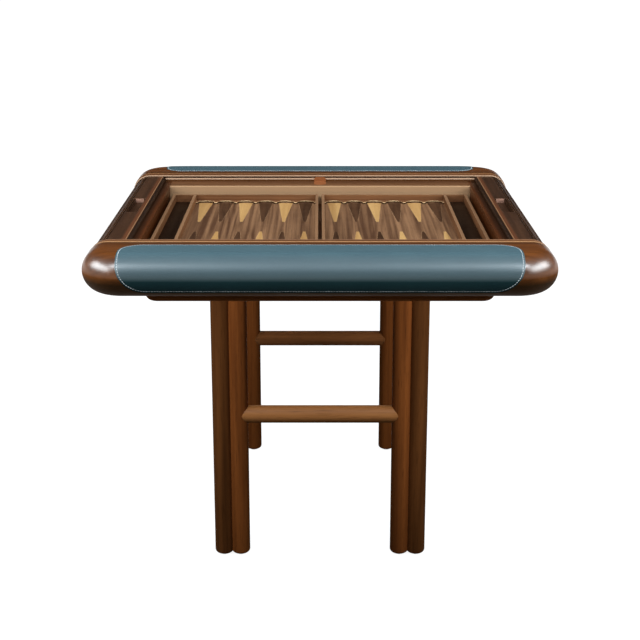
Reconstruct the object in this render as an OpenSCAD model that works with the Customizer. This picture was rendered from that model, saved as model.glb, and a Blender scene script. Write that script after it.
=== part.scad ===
// Backgammon table. A bullnosed top holds a sunk playing field in two trays. Leather
// armrests face the two players, and two slatted shutters run in grooves along the
// tops of the sides and round the half-round ends, to close over the field.
// The legs are pairs of round columns, joined in front and behind by a round stretcher.
// The origin is on the floor under the middle. +Z is up, the armrests run along X, and
// the players sit at -Y and +Y. Sizes are in millimetres.

/* [Top] */
// Height of the top above the floor
table_h = 760; // [700:5:820]
// Length of the top, along the armrests
top_l = 1000; // [960:5:1200]
// Depth of the top, from one player to the other
top_d = 1100; // [1060:5:1300]
// Thickness of the top, whose edges are half round
top_t = 92; // [90:1:110]
// Radius of the top's corners, seen from above
corner_r = 90; // [70:1:105]

/* [Sides and shutter channel] */
// Clear width between the two side boards, which the shutters span
channel_d = 760; // [700:5:800]
// Thickness of a side board
side_t = 27; // [24:1:34]
// Diameter of the bead between a side board and its armrest
bead_d = 5; // [3:0.5:6]
// How far the side board's edge lies below the bead
strip_drop = 1.2; // [0.6:0.1:1.6]
// Width of the sunk line beside the bead
quirk_w = 4; // [2:0.5:8]
// Depth of the sunk line beside the bead
quirk_h = 2.5; // [1:0.5:5]
// Depth of the groove that the slat ends run in
groove_depth = 8.5; // [6:0.5:12]
// Thickness of the wood left above the groove
groove_lip = 2.8; // [2:0.1:4]
// How far the lip under the groove stands out
lip_proud = 3; // [2:0.5:5]
// Height of the lip under the groove
lip_h = 4; // [3:0.5:6]

/* [Leather armrests] */
// Length of a leather pad
leather_l = 840; // [600:10:840]
// Width of wood left between the side board and the leather
leather_margin = 29; // [15:1:45]
// Thickness of the leather, let into the wood
leather_t = 2.5; // [1.5:0.5:5]
// Radius of the leather's corners on top, seen from above
leather_corner_r = 50; // [15:1:60]
// Radius of the leather's lower corners, seen from the front
leather_low_r = 62; // [15:1:65]
// How far the leather wraps below the middle of the nose, in degrees
leather_wrap = 44; // [20:1:50]

/* [Shutters] */
// Flat width of a lead rail, from its front edge to the start of the bend
lead_flat = 42; // [36:1:60]
// Thickness of a lead rail
lead_t = 13; // [12:0.5:14]
// Radius on the lead rail's front edge
lead_edge_r = 8; // [1:0.5:11]
// Length of a lead rail's finger pull
pull_l = 160; // [90:5:260]
// Width of a lead rail's finger pull
pull_w = 28; // [20:1:30]
// Depth of a lead rail's finger pull
pull_depth = 10; // [6:0.5:10]
// Distance from one slat to the next
slat_pitch = 12; // [10:0.5:16]
// Gap between neighbouring slats, at the cloth
slat_gap = 0.4; // [0.3:0.1:0.8]
// Thickness of a slat
slat_t = 10.7; // [9.5:0.1:11]
// Radius on a slat's outer edges
slat_edge_r = 2.2; // [1:0.1:3]
// Thickness of the tongue on each end of a slat
tongue_t = 3.8; // [3:0.1:4.2]
// Thickness of the cloth that holds the slats together
cloth_t = 0.8; // [0.5:0.1:1.2]
// Length of the oval stop in the middle of each groove
stop_l = 32; // [24:1:44]
// Thickness of the stop's foot, let into the ledge
stop_foot_t = 4; // [2:0.5:8]

/* [Well] */
// Length of the well that holds the trays
well_l = 790; // [700:5:800]
// Depth of the well, from front to back
well_d = 632; // [560:4:660]
// Depth from the rim of the top to the ledge that the lead rails pass over
ledge_drop = 18; // [18:0.5:22]
// Thickness of the ledge boards
ledge_t = 18; // [12:1:24]
// Diameter of the bead along a ledge's edge
ledge_bead_d = 6; // [4:0.5:8]
// Width of the sunk line beside the ledge's bead
ledge_quirk_w = 3; // [2:0.5:6]
// Depth of the sunk line beside the ledge's bead
ledge_quirk_h = 2; // [1:0.5:5]
// Thickness of the wall boards under the ledges
well_wall_t = 12; // [8:1:18]
// Thickness of the well's floor
floor_t = 8; // [6:1:10]
// How far the floor is let into the end cores
floor_housing = 12; // [6:1:20]

/* [Trays and playing field] */
// Gap between the trays and the well
tray_gap = 10.5; // [4:0.5:16]
// Gap between the two trays
tray_mid_gap = 9; // [4:0.5:16]
// Thickness of a tray's walls and divider
tray_wall_t = 7; // [5:0.5:10]
// Height of a tray's walls above its playing field
tray_wall_h = 19.5; // [14:0.5:22]
// Thickness of a tray's bottom panel
tray_base_t = 9; // [7:0.5:12]
// Width of the compartment for checkers and dice
pocket_w = 47; // [40:1:70]
// Width of a point at its base
point_w = 36; // [28:1:40]
// Width of a point at its blunt tip
point_tip_w = 6; // [3:0.5:10]
// Gap between the tips of facing points
point_gap = 110; // [80:2:160]
// Thickness of the inlaid points
point_t = 0.9; // [0.6:0.1:1.5]
// Depth of the scalloped strips, from front to back
nest_d = 26; // [24:1:30]
// Height of the scalloped strips
nest_h = 4.5; // [3:0.5:8]
// Radius of each scallop, in which a row of checkers starts
nest_r = 22.5; // [18:0.5:23]

/* [Plate under the top] */
// Length of the plate
plate_l = 750; // [600:5:770]
// Depth of the plate, from front to back
plate_d = 880; // [850:5:900]
// Thickness of the plate
plate_t = 34; // [24:1:40]
// Radius of the plate's corners, seen from above
plate_corner_r = 28; // [20:1:60]
// Radius of the plate's lower edge
plate_edge_r = 15; // [4:1:18]

/* [Legs] */
// Diameter of a leg column
column_d = 43; // [36:1:56]
// Distance between the axes of the two columns of a leg
column_pitch = 38; // [30:0.5:50]
// Distance between the legs, from middle to middle, along X
leg_span_x = 406; // [340:2:560]
// Distance between the legs, from middle to middle, along Y
leg_span_y = 660; // [500:2:720]
// Radius on the foot of a column
foot_r = 9; // [3:1:14]
// Diameter of a stretcher
stretcher_d = 40; // [24:1:40]
// Height of the front stretcher's axis
front_stretcher_z = 342; // [150:2:560]
// Height of the rear stretcher's axis
rear_stretcher_z = 320; // [150:2:560]

/* [Fittings] */
// Diameter of a stretcher's tenon
tenon_d = 16; // [10:1:20]
// Length of a stretcher's tenon inside the column
tenon_l = 20; // [12:1:28]
// Diameter of the steel studs that hold the columns
stud_d = 10; // [6:1:12]
// Length of a steel stud
stud_l = 60; // [40:2:90]
// How far a stud goes into the plate
stud_in_plate = 22; // [15:1:24]
// Diameter of a foot glide
glide_d = 22; // [16:1:26]
// How far a foot glide stands out under the column
glide_proud = 2; // [1:0.5:5]
// Shank diameter of the screws that hold the plate
screw_d = 5; // [4:0.5:6]
// Head diameter of the screws
screw_head_d = 10; // [8:0.5:12]
// How far a screw goes into the armrest
screw_grip = 24; // [15:1:35]
// Distance between the outer screws of a row
screw_span = 560; // [300:10:580]

/* [Hidden] */
$fn = 96;
// Running clearance round the tongues, and the gap between pieces that must not touch
clearance = 0.2;
joint_gap = 0.3;
// Overshoot of a cutting solid past the face that it cuts
over = 1;

nose_r = top_t / 2;
under_z = table_h - top_t;
mid_z = table_h - nose_r;
bend_x = top_l / 2 - nose_r;
side_in = channel_d / 2;
side_out = side_in + side_t;

// Depths below the table's rounded outline, called insets
groove_top = strip_drop + groove_lip;
groove_bottom = groove_top + tongue_t + 3 * clearance;
lip_bottom = groove_bottom + lip_h;
slat_out = groove_top + joint_gap;
slat_in = slat_out + slat_t;

// Shutters
shutter_half = side_in - 1.3;
tongue_half = side_in + groove_depth - 1;
lead_x = bend_x - lead_flat;
lead_in = slat_out + lead_t;
lead_cut = 14.5;
lead_travel = lead_x - joint_gap;
lead_tongue_set = stop_l / 2 + joint_gap;
lead_tongue_end = 2;
pull_x = lead_x + 32 + (pull_w - 28) / 2;
pull_corner_r = 5;
bend_in = nose_r - slat_in;
slat_start = bend_in * (lead_cut + 1) * PI / 180;
bend_length = bend_in * PI;
covered_bend = 110;
slats_per_shutter = ceil((lead_travel + bend_in * (covered_bend - lead_cut) * PI / 180) / slat_pitch);
nose_slats = floor((bend_length - slat_start) / slat_pitch + 0.5);
slat_w = slat_pitch - slat_gap;
tongue_w = slat_w * 0.69;
hidden_end_x = bend_x - (slat_start + slats_per_shutter * slat_pitch - bend_length);

// Well
ledge_z = table_h - ledge_drop;

// Stop: its upright fills the groove and its foot lies flush in the ledge
stop_proud = 0.6;
stop_top_z = table_h - groove_top - 1.6;
stop_bottom_z = ledge_z - stop_foot_t;
stop_end_r = (stop_top_z - stop_bottom_z) / 2 - 0.01;
stop_foot_d = (side_in - well_d / 2) * 0.7;
stop_foot_r = stop_l * 0.46;

// End cores and floor
core_bottom_z = under_z + ledge_drop;
floor_z = core_bottom_z + floor_t;
board_z = floor_z + tray_base_t;
ledge_y = side_in + lip_proud;

// Trays: x measured from the middle of the table outwards
tray_in = tray_mid_gap / 2;
tray_out = well_l / 2 - tray_gap;
tray_half_d = well_d / 2 - tray_gap;
tray_rim_z = board_z + tray_wall_h;
divider_out = tray_out - tray_wall_t - pocket_w;
field_in = tray_in + tray_wall_t;
field_out = divider_out - tray_wall_t;
field_half_d = tray_half_d - tray_wall_t;
points_per_side = 6;
point_pitch = (field_out - field_in) / points_per_side;
nest_y = field_half_d - nest_d;
point_base_y = nest_y + nest_r * 0.6;
point_length = point_base_y - point_gap / 2;

// Underframe
plate_z = under_z - plate_t;
column_r = column_d / 2;
stretcher_half = leg_span_x / 2 - column_pitch / 2;
stud_z = plate_z - (stud_l - stud_in_plate);
glide_h = 8;
screw_y = (side_out + quirk_w + plate_d / 2 - plate_edge_r) / 2;
screws_per_row = 4;

walnut = "#4a2c1a";
dark_walnut = "#3a2114";
inner_walnut = "#7a4f30";
cherry = "#b5683f";
maple = "#c79a63";
wenge = "#3b2115";
teal_leather = "#4f7480";

// Flat shapes

// A rectangle with round corners, centred
module rounded_rect(l, d, r) {
    square([l - 2 * r, d], center = true);
    square([l, d - 2 * r], center = true);
    for (sx = [-1, 1], sy = [-1, 1])
        translate([sx * (l / 2 - r), sy * (d / 2 - r)])
            circle(r);
}

// The table's outline seen from the front, drawn in by inset, centred on the mid-height
module loop_outline(inset) {
    r = nose_r - inset;
    square([2 * bend_x, 2 * r], center = true);
    for (side = [-1, 1])
        translate([side * bend_x, 0])
            circle(r);
}

// A band of the outline between two insets
module loop_band(outer, inner) {
    difference() {
        loop_outline(outer);
        loop_outline(inner);
    }
}

// Carries a shape drawn in X and Z, centred on the mid-height, along Y from y_low to y_high
module along_y(y_low, y_high) {
    translate([0, y_high, mid_z])
        rotate([90, 0, 0])
            linear_extrude(y_high - y_low)
                children();
}

// Mirrors a front piece to the rear, or a right piece to the left
module to_rear() {
    mirror([0, 1, 0])
        children();
}

module to_left() {
    mirror([1, 0, 0])
        children();
}

// Sides and armrests, made at the front

// The whole top as one blank: round corners in plan and half-round edges
module top_blank() {
    bend = corner_r - nose_r;
    flat_x = top_l / 2 - corner_r;
    flat_y = top_d / 2 - corner_r;
    translate([0, 0, under_z])
        linear_extrude(top_t)
            rounded_rect(top_l - top_t, top_d - top_t, bend);
    for (side = [-1, 1]) {
        translate([-flat_x, side * (top_d / 2 - nose_r), mid_z])
            rotate([0, 90, 0])
                cylinder(h = 2 * flat_x, r = nose_r);
        translate([side * (top_l / 2 - nose_r), flat_y, mid_z])
            rotate([90, 0, 0])
                cylinder(h = 2 * flat_y, r = nose_r);
    }
    for (corner = [[1, 1, 0], [-1, 1, 90], [-1, -1, 180], [1, -1, 270]])
        translate([corner[0] * flat_x, corner[1] * flat_y, mid_z])
            rotate([0, 0, corner[2]])
                rotate_extrude(angle = 90)
                    intersection() {
                        translate([bend, 0])
                            circle(nose_r);
                        translate([0, -nose_r])
                            square([corner_r, top_t]);
                    }
}

// The nose's outline seen from the end, with its flat top, drawn in by inset
module nose_section(inset) {
    r = nose_r - inset;
    translate([nose_r - top_d / 2, 0])
        circle(r);
    translate([nose_r - top_d / 2, -r])
        square([top_d / 2, 2 * r]);
}

// The leather pad: a shell round the nose, with round corners on top and below
module leather_pad() {
    edge_y = side_out + leather_margin;
    nose_y = top_d / 2 - nose_r;
    reach = 2 * nose_r;
    low_z = -nose_r * sin(leather_wrap);
    intersection() {
        translate([-leather_l / 2, 0, mid_z])
            rotate([90, 0, 90])
                linear_extrude(leather_l)
                    intersection() {
                        difference() {
                            nose_section(0);
                            nose_section(leather_t);
                        }
                        union() {
                            translate([-top_d, 0])
                                square([top_d - edge_y, reach]);
                            polygon([
                                [-nose_y, 0],
                                [-nose_y - reach, 0],
                                [-nose_y - reach * cos(leather_wrap), -reach * sin(leather_wrap)]
                            ]);
                        }
                    }
        translate([0, -edge_y - top_d / 2, under_z - over])
            linear_extrude(top_t + 2 * over)
                rounded_rect(leather_l, top_d, leather_corner_r);
        along_y(-top_d, 0)
            translate([0, low_z + top_t])
                rounded_rect(leather_l, 2 * top_t, leather_low_r);
    }
}

// The bead that runs all round the side board's outer edge
module loop_bead() {
    r = bead_d / 2;
    for (up = [-1, 1])
        translate([-bend_x, -side_out + r, mid_z + up * (nose_r - r)])
            rotate([0, 90, 0])
                cylinder(h = 2 * bend_x, r = r);
    for (side = [-1, 1])
        translate([side * bend_x, -side_out + r, mid_z])
            rotate([90, 0, 0])
                rotate([0, 0, side * -90])
                    rotate_extrude(angle = 180)
                        translate([nose_r - r, 0])
                            circle(r);
}

// The stop: an oval upright across the groove on a round-ended foot, which reaches above
// its own top face by extra when it is used as a cutter
module stop_blank(extra) {
    back_y = side_in + groove_depth + stop_proud;
    height = stop_top_z - stop_bottom_z;
    along_y(-back_y, -side_in + stop_proud)
        translate([0, stop_bottom_z - mid_z + height / 2])
            rounded_rect(stop_l, height, stop_end_r);
    translate([0, -side_in, stop_bottom_z])
        linear_extrude(stop_foot_t + extra)
            intersection() {
                rounded_rect(stop_l, 2 * stop_foot_d, stop_foot_r);
                translate([-stop_l / 2, -stop_proud])
                    square([stop_l, stop_foot_d + stop_proud]);
            }
}

module armrest() {
    difference() {
        intersection() {
            top_blank();
            translate([-top_l, -top_d, 0])
                cube([2 * top_l, top_d - side_out, table_h + over]);
        }
        along_y(-side_out - quirk_w, -side_out + over)
            loop_band(-over, quirk_h);
        leather_pad();
        plate_screw_row();
    }
}

module side_board() {
    difference() {
        union() {
            along_y(-side_out, -side_in)
                loop_outline(strip_drop);
            loop_bead();
        }
        along_y(-side_in - groove_depth, -side_in + over)
            loop_band(groove_top, groove_bottom);
        along_y(-side_in - lip_proud, -side_in + over)
            loop_outline(lip_bottom);
        stop_blank(0);
    }
}

// Well, made at the front or on the right

// A ledge, seen from its end: a bead and a sunk line run along its edge at the well
module ledge_section() {
    r = ledge_bead_d / 2;
    width = ledge_y - well_d / 2;
    difference() {
        union() {
            translate([-width, -ledge_t])
                square([width, ledge_t - r]);
            translate([-width, -ledge_t])
                square([width - r, ledge_t]);
            translate([-r, -r])
                circle(r);
        }
        translate([-ledge_bead_d - ledge_quirk_w, -ledge_quirk_h])
            square([ledge_quirk_w, ledge_quirk_h + over]);
    }
}

module ledge() {
    difference() {
        translate([-well_l / 2, -well_d / 2, ledge_z])
            rotate([90, 0, 90])
                linear_extrude(well_l)
                    ledge_section();
        stop_blank(over);
    }
}

module well_wall() {
    translate([-well_l / 2, -well_d / 2 - well_wall_t, floor_z])
        cube([well_l, well_wall_t, ledge_z - ledge_t - floor_z]);
}

module well_floor_panel() {
    translate([-well_l / 2 - floor_housing, -ledge_y, core_bottom_z])
        cube([well_l + 2 * floor_housing, 2 * ledge_y, floor_t]);
}

module end_core() {
    difference() {
        along_y(-ledge_y, ledge_y)
            intersection() {
                loop_outline(ledge_drop);
                translate([well_l / 2, -nose_r])
                    square([top_l, top_t]);
            }
        well_floor_panel();
    }
}

// Shutters, made on the right

// A lead rail's section: flat, then bending with the groove as far as the cut
module lead_section() {
    top = nose_r - slat_out;
    bottom = nose_r - lead_in;
    intersection() {
        loop_outline(slat_out);
        translate([lead_x, bottom])
            square([top_l, top_t]);
        union() {
            translate([lead_x + lead_edge_r, bottom])
                square([top_l, lead_t]);
            translate([lead_x, bottom])
                square([top_l, lead_t - lead_edge_r]);
            translate([lead_x + lead_edge_r, top - lead_edge_r])
                circle(lead_edge_r);
        }
        polygon([
            [0, 0],
            [bend_x, 0],
            [bend_x + top_t * sin(lead_cut), top_t * cos(lead_cut)],
            [0, top_t * cos(lead_cut)]
        ]);
    }
}

module lead_rail() {
    difference() {
        union() {
            along_y(-shutter_half, shutter_half)
                lead_section();
            translate([lead_x + lead_tongue_set, -tongue_half, table_h - slat_out - tongue_t])
                cube([lead_flat - lead_tongue_set - lead_tongue_end, 2 * tongue_half, tongue_t]);
        }
        translate([pull_x, 0, table_h - slat_out - pull_depth])
            linear_extrude(top_t)
                rounded_rect(pull_w, pull_l, pull_corner_r);
    }
}

// One slat lying across X, with its cloth face on the XY plane
module slat() {
    rotate([90, 0, 0])
        linear_extrude(2 * shutter_half, center = true) {
            translate([-slat_w / 2, 0])
                square([slat_w, slat_t - slat_edge_r]);
            translate([slat_edge_r - slat_w / 2, 0])
                square([slat_w - 2 * slat_edge_r, slat_t]);
            for (side = [-1, 1])
                translate([side * (slat_w / 2 - slat_edge_r), slat_t - slat_edge_r])
                    circle(slat_edge_r);
        }
    translate([-tongue_w / 2, -tongue_half, slat_t - tongue_t])
        cube([tongue_w, 2 * tongue_half, tongue_t]);
}

// Distance of a slat's middle along the cloth from the start of the bend
function slat_run(i) = slat_start + (i + 0.5) * slat_pitch;

module nose_slat_row() {
    for (i = [0 : nose_slats - 1])
        translate([bend_x, 0, mid_z])
            rotate([0, slat_run(i) / bend_in * 180 / PI, 0])
                translate([0, 0, bend_in])
                    slat();
}

module hidden_slat_row() {
    for (i = [nose_slats : slats_per_shutter - 1])
        translate([bend_x - (slat_run(i) - bend_length), 0, mid_z - bend_in])
            rotate([0, 180, 0])
                slat();
}

// The cloth follows the inner faces of the slats round the bend and under the floor
module shutter_cloth() {
    along_y(-shutter_half + 4, shutter_half - 4)
        intersection() {
            loop_band(slat_in, slat_in + cloth_t);
            union() {
                translate([hidden_end_x, -nose_r])
                    square([bend_x - hidden_end_x, nose_r]);
                translate([bend_x, -nose_r])
                    square([nose_r, nose_r]);
                polygon([
                    [bend_x, 0],
                    [bend_x + top_t * sin(lead_cut + 1), top_t * cos(lead_cut + 1)],
                    [bend_x + top_t, 0]
                ]);
            }
        }
}

// Trays, made on the right

// A mitred wall lying along X from 0 to length, with its long face at y = 0
module mitred_wall(length) {
    linear_extrude(tray_rim_z - floor_z)
        polygon([
            [0, 0],
            [length, 0],
            [length - tray_wall_t, tray_wall_t],
            [tray_wall_t, tray_wall_t]
        ]);
}

module tray_front_wall() {
    translate([tray_in, -tray_half_d, floor_z])
        mitred_wall(tray_out - tray_in);
}

module tray_outer_wall() {
    translate([tray_out, -tray_half_d, floor_z])
        rotate([0, 0, 90])
            mitred_wall(2 * tray_half_d);
}

module tray_inner_wall() {
    translate([tray_in, tray_half_d, floor_z])
        rotate([0, 0, -90])
            mitred_wall(2 * tray_half_d);
}

module tray_divider() {
    translate([field_out, -field_half_d, board_z])
        cube([tray_wall_t, 2 * field_half_d, tray_wall_h]);
}

// A strip with one scallop for each point
module nest_strip() {
    translate([field_in, -field_half_d, board_z])
        linear_extrude(nest_h)
            difference() {
                square([field_out - field_in, nest_d]);
                for (i = [0 : points_per_side - 1])
                    translate([(i + 0.5) * point_pitch, nest_d])
                        circle(nest_r);
            }
}

// Points, with a column's x counted from the left of its field

// One point at the rear, with its base towards +Y
module point_shape() {
    polygon([
        [-point_w / 2, point_base_y],
        [point_w / 2, point_base_y],
        [point_tip_w / 2, point_base_y - point_length],
        [-point_tip_w / 2, point_base_y - point_length]
    ]);
}

// Every second point of a field. The rear row starts with a light point on its left,
// and each point faces one of the other colour.
module point_row(field_left, light, height) {
    for (i = [0 : points_per_side - 1]) {
        rear = light ? i % 2 == 0 : i % 2 == 1;
        translate([field_left + (i + 0.5) * point_pitch, 0, board_z - point_t])
            linear_extrude(height)
                if (rear)
                    point_shape();
                else
                    mirror([0, 1])
                        point_shape();
    }
}

module tray_base(field_left) {
    difference() {
        translate([tray_in + tray_wall_t, -field_half_d, floor_z])
            cube([tray_out - tray_in - 2 * tray_wall_t, 2 * field_half_d, tray_base_t]);
        for (light = [true, false])
            point_row(field_left, light, point_t + over);
    }
}

// Underframe, with legs made at the front right

// The screws of the front row, with countersunk heads flush with the plate
module plate_screw_row() {
    head_h = (screw_head_d - screw_d) / 2;
    for (i = [0 : screws_per_row - 1])
        translate([(i / (screws_per_row - 1) - 0.5) * screw_span, -screw_y, plate_z])
            rotate_extrude()
                polygon([
                    [0, 0],
                    [screw_head_d / 2, 0],
                    [screw_d / 2, head_h],
                    [screw_d / 2, plate_t + screw_grip],
                    [0, plate_t + screw_grip]
                ]);
}

// The plate, with a round lower edge
module plate_blank() {
    r = plate_edge_r;
    bend = plate_corner_r - r;
    flat_x = plate_l / 2 - plate_corner_r;
    flat_y = plate_d / 2 - plate_corner_r;
    translate([0, 0, plate_z + r])
        linear_extrude(plate_t - r)
            rounded_rect(plate_l, plate_d, plate_corner_r);
    translate([0, 0, plate_z])
        linear_extrude(r)
            rounded_rect(plate_l - 2 * r, plate_d - 2 * r, bend);
    for (side = [-1, 1]) {
        translate([-flat_x, side * (plate_d / 2 - r), plate_z + r])
            rotate([0, 90, 0])
                cylinder(h = 2 * flat_x, r = r);
        translate([side * (plate_l / 2 - r), flat_y, plate_z + r])
            rotate([90, 0, 0])
                cylinder(h = 2 * flat_y, r = r);
    }
    for (corner = [[1, 1, 0], [-1, 1, 90], [-1, -1, 180], [1, -1, 270]])
        translate([corner[0] * flat_x, corner[1] * flat_y, plate_z + r])
            rotate([0, 0, corner[2]])
                rotate_extrude(angle = 90)
                    intersection() {
                        translate([bend, 0])
                            circle(r);
                        translate([0, -r])
                            square([plate_corner_r, r]);
                    }
}

// The axes of a leg's two columns: the outer one is further from the middle
function column_x(outer) = leg_span_x / 2 + (outer ? 1 : -1) * column_pitch / 2;

module stud(outer) {
    translate([column_x(outer), -leg_span_y / 2, stud_z])
        cylinder(h = stud_l, d = stud_d);
}

module glide(outer) {
    translate([column_x(outer), -leg_span_y / 2, 0])
        cylinder(h = glide_h, d = glide_d);
}

module stretcher(z) {
    intersection() {
        translate([-stretcher_half, -leg_span_y / 2, z])
            rotate([0, 90, 0])
                cylinder(h = 2 * stretcher_half, d = stretcher_d);
        difference() {
            translate([-stretcher_half, -leg_span_y / 2 - stretcher_d, z - stretcher_d])
                cube([2 * stretcher_half, 2 * stretcher_d, 2 * stretcher_d]);
            for (side = [-1, 1])
                translate([side * stretcher_half, -leg_span_y / 2, z - stretcher_d - over])
                    cylinder(h = 2 * stretcher_d + 2 * over, d = column_d);
        }
    }
    tenon_half = stretcher_half - column_r + tenon_l;
    translate([-tenon_half, -leg_span_y / 2, z])
        rotate([0, 90, 0])
            cylinder(h = 2 * tenon_half, d = tenon_d);
}

// A round column with a flat where it meets its neighbour and a rounded foot
module column(outer, stretcher_z) {
    x = column_x(outer);
    away = outer ? 0 : -1;
    difference() {
        intersection() {
            translate([x, -leg_span_y / 2, 0]) {
                translate([0, 0, glide_proud + foot_r])
                    cylinder(h = plate_z - glide_proud - foot_r, d = column_d);
                translate([0, 0, glide_proud])
                    rotate_extrude() {
                        square([column_r - foot_r, foot_r]);
                        intersection() {
                            translate([column_r - foot_r, foot_r])
                                circle(foot_r);
                            square([column_r, foot_r]);
                        }
                    }
            }
            translate([leg_span_x / 2 + away * column_d, -leg_span_y / 2 - column_d, 0])
                cube([column_d, 2 * column_d, table_h]);
        }
        stud(outer);
        glide(outer);
        if (!outer)
            stretcher_tenons(stretcher_z);
    }
}

module stretcher_tenons(z) {
    tenon_half = stretcher_half - column_r + tenon_l;
    translate([-tenon_half, -leg_span_y / 2, z])
        rotate([0, 90, 0])
            cylinder(h = 2 * tenon_half, d = tenon_d);
}

module all_studs() {
    for (sx = [0, 1], sy = [0, 1], outer = [true, false])
        mirror([sx, 0, 0])
            mirror([0, sy, 0])
                stud(outer);
}

// Nodes

module front_armrest() {
    color(walnut)
        armrest();
}

module rear_armrest() {
    color(walnut)
        to_rear()
            armrest();
}

module front_leather() {
    color(teal_leather)
        leather_pad();
}

module rear_leather() {
    color(teal_leather)
        to_rear()
            leather_pad();
}

module front_side_board() {
    color(walnut)
        side_board();
}

module rear_side_board() {
    color(walnut)
        to_rear()
            side_board();
}

module front_stop() {
    color(cherry)
        stop_blank(0);
}

module rear_stop() {
    color(cherry)
        to_rear()
            stop_blank(0);
}

module front_ledge() {
    color(inner_walnut)
        ledge();
}

module rear_ledge() {
    color(inner_walnut)
        to_rear()
            ledge();
}

module front_well_wall() {
    color(inner_walnut)
        well_wall();
}

module rear_well_wall() {
    color(inner_walnut)
        to_rear()
            well_wall();
}

module left_end_core() {
    color(dark_walnut)
        to_left()
            end_core();
}

module right_end_core() {
    color(dark_walnut)
        end_core();
}

module well_floor() {
    color(dark_walnut)
        well_floor_panel();
}

module left_lead_rail() {
    color(dark_walnut)
        to_left()
            lead_rail();
}

module right_lead_rail() {
    color(dark_walnut)
        lead_rail();
}

module left_nose_slats() {
    color(dark_walnut)
        to_left()
            nose_slat_row();
}

module right_nose_slats() {
    color(dark_walnut)
        nose_slat_row();
}

module left_hidden_slats() {
    color(dark_walnut)
        to_left()
            hidden_slat_row();
}

module right_hidden_slats() {
    color(dark_walnut)
        hidden_slat_row();
}

module left_shutter_cloth() {
    color("#2a2622")
        to_left()
            shutter_cloth();
}

module right_shutter_cloth() {
    color("#2a2622")
        shutter_cloth();
}

module left_tray_base() {
    color(inner_walnut)
        to_left()
            tray_base(field_in);
}

module right_tray_base() {
    color(inner_walnut)
        tray_base(field_in);
}

module left_tray_front_wall() {
    color(inner_walnut)
        to_left()
            tray_front_wall();
}

module left_tray_rear_wall() {
    color(inner_walnut)
        to_left()
            to_rear()
                tray_front_wall();
}

module left_tray_outer_wall() {
    color(inner_walnut)
        to_left()
            tray_outer_wall();
}

module left_tray_inner_wall() {
    color(inner_walnut)
        to_left()
            tray_inner_wall();
}

module right_tray_front_wall() {
    color(inner_walnut)
        tray_front_wall();
}

module right_tray_rear_wall() {
    color(inner_walnut)
        to_rear()
            tray_front_wall();
}

module right_tray_outer_wall() {
    color(inner_walnut)
        tray_outer_wall();
}

module right_tray_inner_wall() {
    color(inner_walnut)
        tray_inner_wall();
}

module left_tray_divider() {
    color(inner_walnut)
        to_left()
            tray_divider();
}

module right_tray_divider() {
    color(inner_walnut)
        tray_divider();
}

module left_front_nest_strip() {
    color(inner_walnut)
        to_left()
            nest_strip();
}

module left_rear_nest_strip() {
    color(inner_walnut)
        to_left()
            to_rear()
                nest_strip();
}

module right_front_nest_strip() {
    color(inner_walnut)
        nest_strip();
}

module right_rear_nest_strip() {
    color(inner_walnut)
        to_rear()
            nest_strip();
}

module left_light_points() {
    color(maple)
        point_row(-field_out, true, point_t);
}

module left_dark_points() {
    color(wenge)
        point_row(-field_out, false, point_t);
}

module right_light_points() {
    color(maple)
        point_row(field_in, true, point_t);
}

module right_dark_points() {
    color(wenge)
        point_row(field_in, false, point_t);
}

module under_plate() {
    color(dark_walnut)
        difference() {
            plate_blank();
            plate_screw_row();
            to_rear()
                plate_screw_row();
            all_studs();
        }
}

module plate_screws() {
    color("#8a7a5a") {
        plate_screw_row();
        to_rear()
            plate_screw_row();
    }
}

module front_left_outer_column() {
    color(dark_walnut)
        to_left()
            column(true, front_stretcher_z);
}

module front_left_inner_column() {
    color(dark_walnut)
        to_left()
            column(false, front_stretcher_z);
}

module front_right_outer_column() {
    color(dark_walnut)
        column(true, front_stretcher_z);
}

module front_right_inner_column() {
    color(dark_walnut)
        column(false, front_stretcher_z);
}

module rear_left_outer_column() {
    color(dark_walnut)
        to_left()
            to_rear()
                column(true, rear_stretcher_z);
}

module rear_left_inner_column() {
    color(dark_walnut)
        to_left()
            to_rear()
                column(false, rear_stretcher_z);
}

module rear_right_outer_column() {
    color(dark_walnut)
        to_rear()
            column(true, rear_stretcher_z);
}

module rear_right_inner_column() {
    color(dark_walnut)
        to_rear()
            column(false, rear_stretcher_z);
}

module front_stretcher() {
    color(dark_walnut)
        stretcher(front_stretcher_z);
}

module rear_stretcher() {
    color(dark_walnut)
        to_rear()
            stretcher(rear_stretcher_z);
}

module column_studs() {
    color("silver")
        all_studs();
}

module foot_glides() {
    color("#202020")
        for (sx = [0, 1], sy = [0, 1], outer = [true, false])
            mirror([sx, 0, 0])
                mirror([0, sy, 0])
                    glide(outer);
}

front_armrest();
rear_armrest();
front_leather();
rear_leather();
front_side_board();
rear_side_board();
front_stop();
rear_stop();
front_ledge();
rear_ledge();
front_well_wall();
rear_well_wall();
left_end_core();
right_end_core();
well_floor();
left_lead_rail();
right_lead_rail();
left_nose_slats();
right_nose_slats();
left_hidden_slats();
right_hidden_slats();
left_shutter_cloth();
right_shutter_cloth();
left_tray_base();
right_tray_base();
left_tray_front_wall();
left_tray_rear_wall();
left_tray_outer_wall();
left_tray_inner_wall();
right_tray_front_wall();
right_tray_rear_wall();
right_tray_outer_wall();
right_tray_inner_wall();
left_tray_divider();
right_tray_divider();
left_front_nest_strip();
left_rear_nest_strip();
right_front_nest_strip();
right_rear_nest_strip();
left_light_points();
left_dark_points();
right_light_points();
right_dark_points();
under_plate();
plate_screws();
front_left_outer_column();
front_left_inner_column();
front_right_outer_column();
front_right_inner_column();
rear_left_outer_column();
rear_left_inner_column();
rear_right_outer_column();
rear_right_inner_column();
front_stretcher();
rear_stretcher();
column_studs();
foot_glides();
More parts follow.
